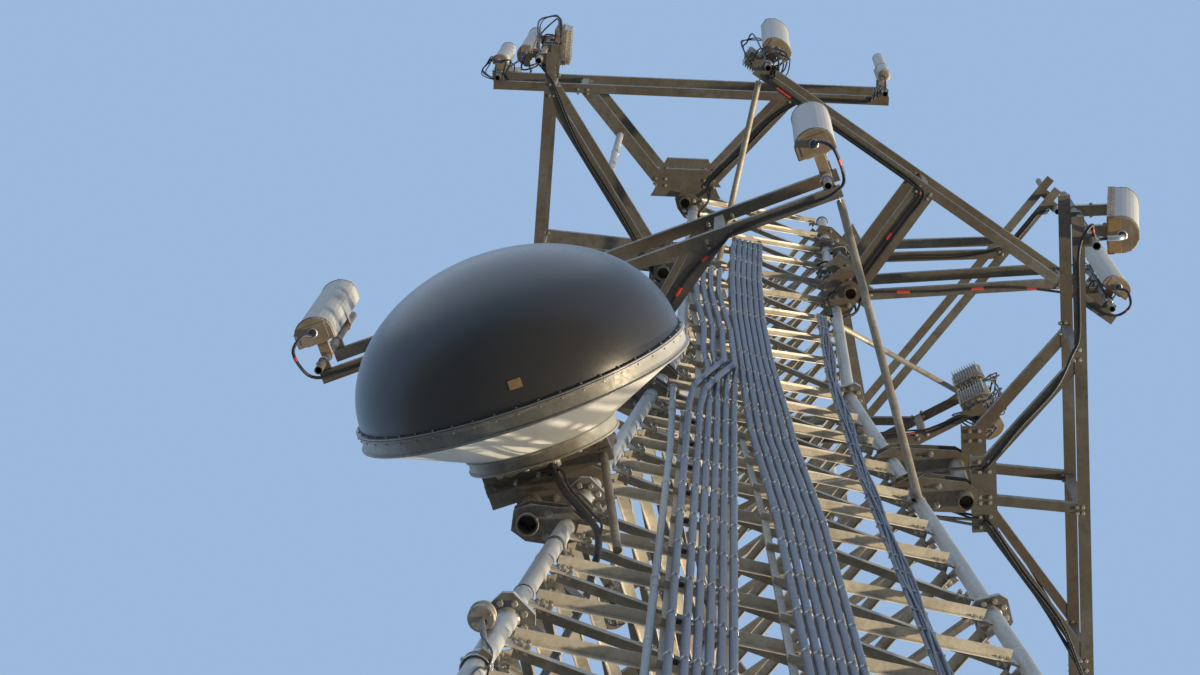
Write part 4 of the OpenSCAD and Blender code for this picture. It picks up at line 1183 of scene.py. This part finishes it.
# bare plate low on the dome
b = Build()
place = Vector((1.099, 0.166, 19.852))
rel = place - (DISH + dish_n * 0.014)
height = rel.dot(dish_n)
out = (dish_n * (height / DOME_H ** 2) + (rel - dish_n * height) / DOME_R ** 2).normalized()
x = dish_n.cross(out).normalized()
slab(b, axes_matrix(x, out.cross(x), out, place + out * 0.001), -0.038, 0.038, -0.027, 0.027, -0.003, 0.0015)
b.make("dome_plate", "tan", "radome_dark", 0.001)

# side lamp: rings, lens, wire and bands
lamp_at = Vector((1.277, 0.70, 17.0))
b = Build()
lathe(b, lamp_at - UP * 0.0105, UP, [(0.058, -0.006), (0.068, -0.004), (0.070, 0.004), (0.070, 0.016),
                                     (0.064, 0.02)], 32)
lathe(b, lamp_at + UP * 0.066, UP, [(0.062, 0), (0.068, 0.002), (0.068, 0.012), (0.060, 0.014)], 32)
for i in range(4):
    bolt(b, lamp_at + polar(pi / 4 + pi / 2 * i) * 0.048 - UP * 0.012, DOWN, 0.011)
b.make("lamp_rings", "bolt", "weathered_steel")
b = Build()
prof = [(0.0505, 0.083)]
for i in range(6):
    prof += [(0.0545, 0.087 + 0.009 * i), (0.0515, 0.092 + 0.009 * i)]
lathe(b, lamp_at, UP, prof + [(0.046, 0.145), (0.03, 0.152), (0.01, 0.155)], 32)
b.make("lamp_lens", "lens", "weathered_steel")
b = Build()
beside = Vector((0.02, -0.063, 0))
wire = [lamp_at + Vector(p) for p in ((0.02, 0, -0.012), (0.03, 0, -0.08), (0.018, -0.012, -0.3))]
wire += [Vector((1.365, 0.68, 16.45)), Vector((1.36, 0.72, 16.3))]
wire += [leg_pt(0, z) + beside for z in (16.1, 15.2)]
cable(b, wire, 0.006)
b.make("lamp_wire", "black", "cable_jacket")
b = Build()
for z in (16.36, 16.44):
    band(b, leg_pt(0, z), UP, leg_rad(z) + 0.014, 0.014, 0.004, 24)
out = Vector((-0.958, -0.287, 0))
bolt(b, leg_pt(0, 16.4) + out * (leg_rad(16.4) + 0.014), out, 0.02)
b.make("lamp_bands", "clip", "weathered_steel")
b = Build()
for z in (19.42, 19.46, 20.3, 18.1):
    band(b, leg_pt(0, z), UP, leg_rad(z), 0.014, 0.004, 24)
b.make("leg_straps", "black", "cable_jacket")

# stays and whip
b = Build()
for name, x, z, r in (("low_frame_left", -1.96, 0.0, 0.03), ("mid_frame_front", 1.99, 0.03, 0.028),
                      ("mid_frame_back", 2.0, 0.8, 0.025)):
    m = frame_matrix(name)
    ubolt(b, spot(m, x, -0.078 - r, z), aim(m, 1, 0, 0), aim(m, 0, -1, 0), r + 0.006, 0.04, 0.005)
whip_foot = spot(frame_matrix("mid_frame_left"), -0.712, -0.616, 0.874)
for s in (0.02, 0.3, 1.55):
    band(b, whip_foot + UP * s, UP, 0.035, 0.03, 0.004, 24)
b.make("stay_fixings", "clip", "galvanised_leg")
b = Build()
lathe(b, whip_foot + UP * 2.736, UP, [(0.0355, 0), (0.0375, 0.003), (0.0375, 0.08), (0.030, 0.098),
                                      (0.012, 0.105)], 28)
b.make("whip_cap", "unit", "radome_white")

# camera of the photo
cam_data = bpy.data.cameras.new("photo_camera")
cam_data.sensor_fit = "HORIZONTAL"
cam_data.sensor_width = 36
cam_data.lens = 99.4
cam_data.clip_end = 400
cam = bpy.data.objects.new("photo_camera", cam_data)
bpy.context.collection.objects.link(cam)
right = Vector((0.961265, -0.2725, 0.041389))
up = Vector((-0.275334, -0.942468, 0.189594))
forward = Vector((0.012657, 0.193646, 0.98099))
cam.matrix_world = axes_matrix(right, up, -forward, (1.2509, -3.828, 1.6))
bpy.context.scene.camera = cam


def any_ray(nt, kinds):
    """A value of one for rays of these kinds."""
    path = nt.nodes.new("ShaderNodeLightPath")
    out = path.outputs[kinds[0]]
    for kind in kinds[1:]:
        larger = node(nt, "ShaderNodeMath", operation="MAXIMUM")
        link(out, larger.inputs[0])
        link(path.outputs[kind], larger.inputs[1])
        out = larger.outputs[0]
    return out


# sky, dimmer as light than as seen
world = bpy.data.worlds.new("studio")
bpy.context.scene.world = world
world.use_nodes = True
nt = world.node_tree
nt.nodes.clear()
sky = nt.nodes.new("ShaderNodeOutputWorld")
choice = nt.nodes.new("ShaderNodeMixShader")
lit = node(nt, "ShaderNodeBackground", Color=(0.66, 0.80, 1.0, 1), Strength=0.37)
seen = node(nt, "ShaderNodeBackground", Color=(0.33, 0.485, 0.72, 1), Strength=1.0)
link(any_ray(nt, ("Is Camera Ray", "Is Glossy Ray", "Is Transmission Ray")), choice.inputs[0])
link(lit.outputs[0], choice.inputs[1])
link(seen.outputs[0], choice.inputs[2])
link(choice.outputs[0], sky.inputs[0])


def light(name, kind, direction, strength, colour):
    data = bpy.data.lights.new(name, kind)
    data.energy = strength
    data.color = colour
    ob = bpy.data.objects.new(name, data)
    ob.rotation_euler = Vector(direction).to_track_quat("-Z", "Y").to_euler()
    bpy.context.collection.objects.link(ob)
    return ob


# low sun, the lamp that stands in for its light from below the horizon, and a faint fill
key = light("key", "SUN", (-0.951, -0.309, -0.02), 4.6, (1.0, 0.84, 0.62))
key.data.angle = radians(2)
kick = light("kick", "SPOT", (-59, 21, 22), 165000, (1.0, 0.82, 0.55))
kick.data.spot_size = radians(38)
kick.data.spot_blend = 0.4
kick.data.shadow_soft_size = 1.2
kick.location = (62, -20, 1.5)
kick.visible_camera = False
fill = light("fill", "SUN", (0.5, 0.6, -0.9), 0.35, (0.85, 0.92, 1.0))
fill.data.angle = radians(60)

# floor
bpy.ops.mesh.primitive_circle_add(vertices=128, radius=260, fill_type="NGON", location=(3, 2, 0))
floor = bpy.context.object
floor.name = "floor"
floor_mat, nt, shader = new_mat("pale_floor")
patches = ramp(nt, noise(nt, 1.4, 4, 0.6), (0.3, (0.53, 0.53, 0.52)), (0.7, (0.57, 0.57, 0.56)))
link(patches, shader.inputs["Base Color"])
shader.inputs["Roughness"].default_value = 0.9
shader.inputs["Emission Color"].default_value = (0.80, 0.82, 0.86, 1)
glow = node(nt, "ShaderNodeMath", operation="MULTIPLY")
glow.inputs[1].default_value = 0.36
link(any_ray(nt, ("Is Camera Ray", "Is Transmission Ray")), glow.inputs[0])
link(glow.outputs[0], shader.inputs["Emission Strength"])
floor.data.materials.append(floor_mat)
bpy.context.scene.view_settings.view_transform = "Standard"
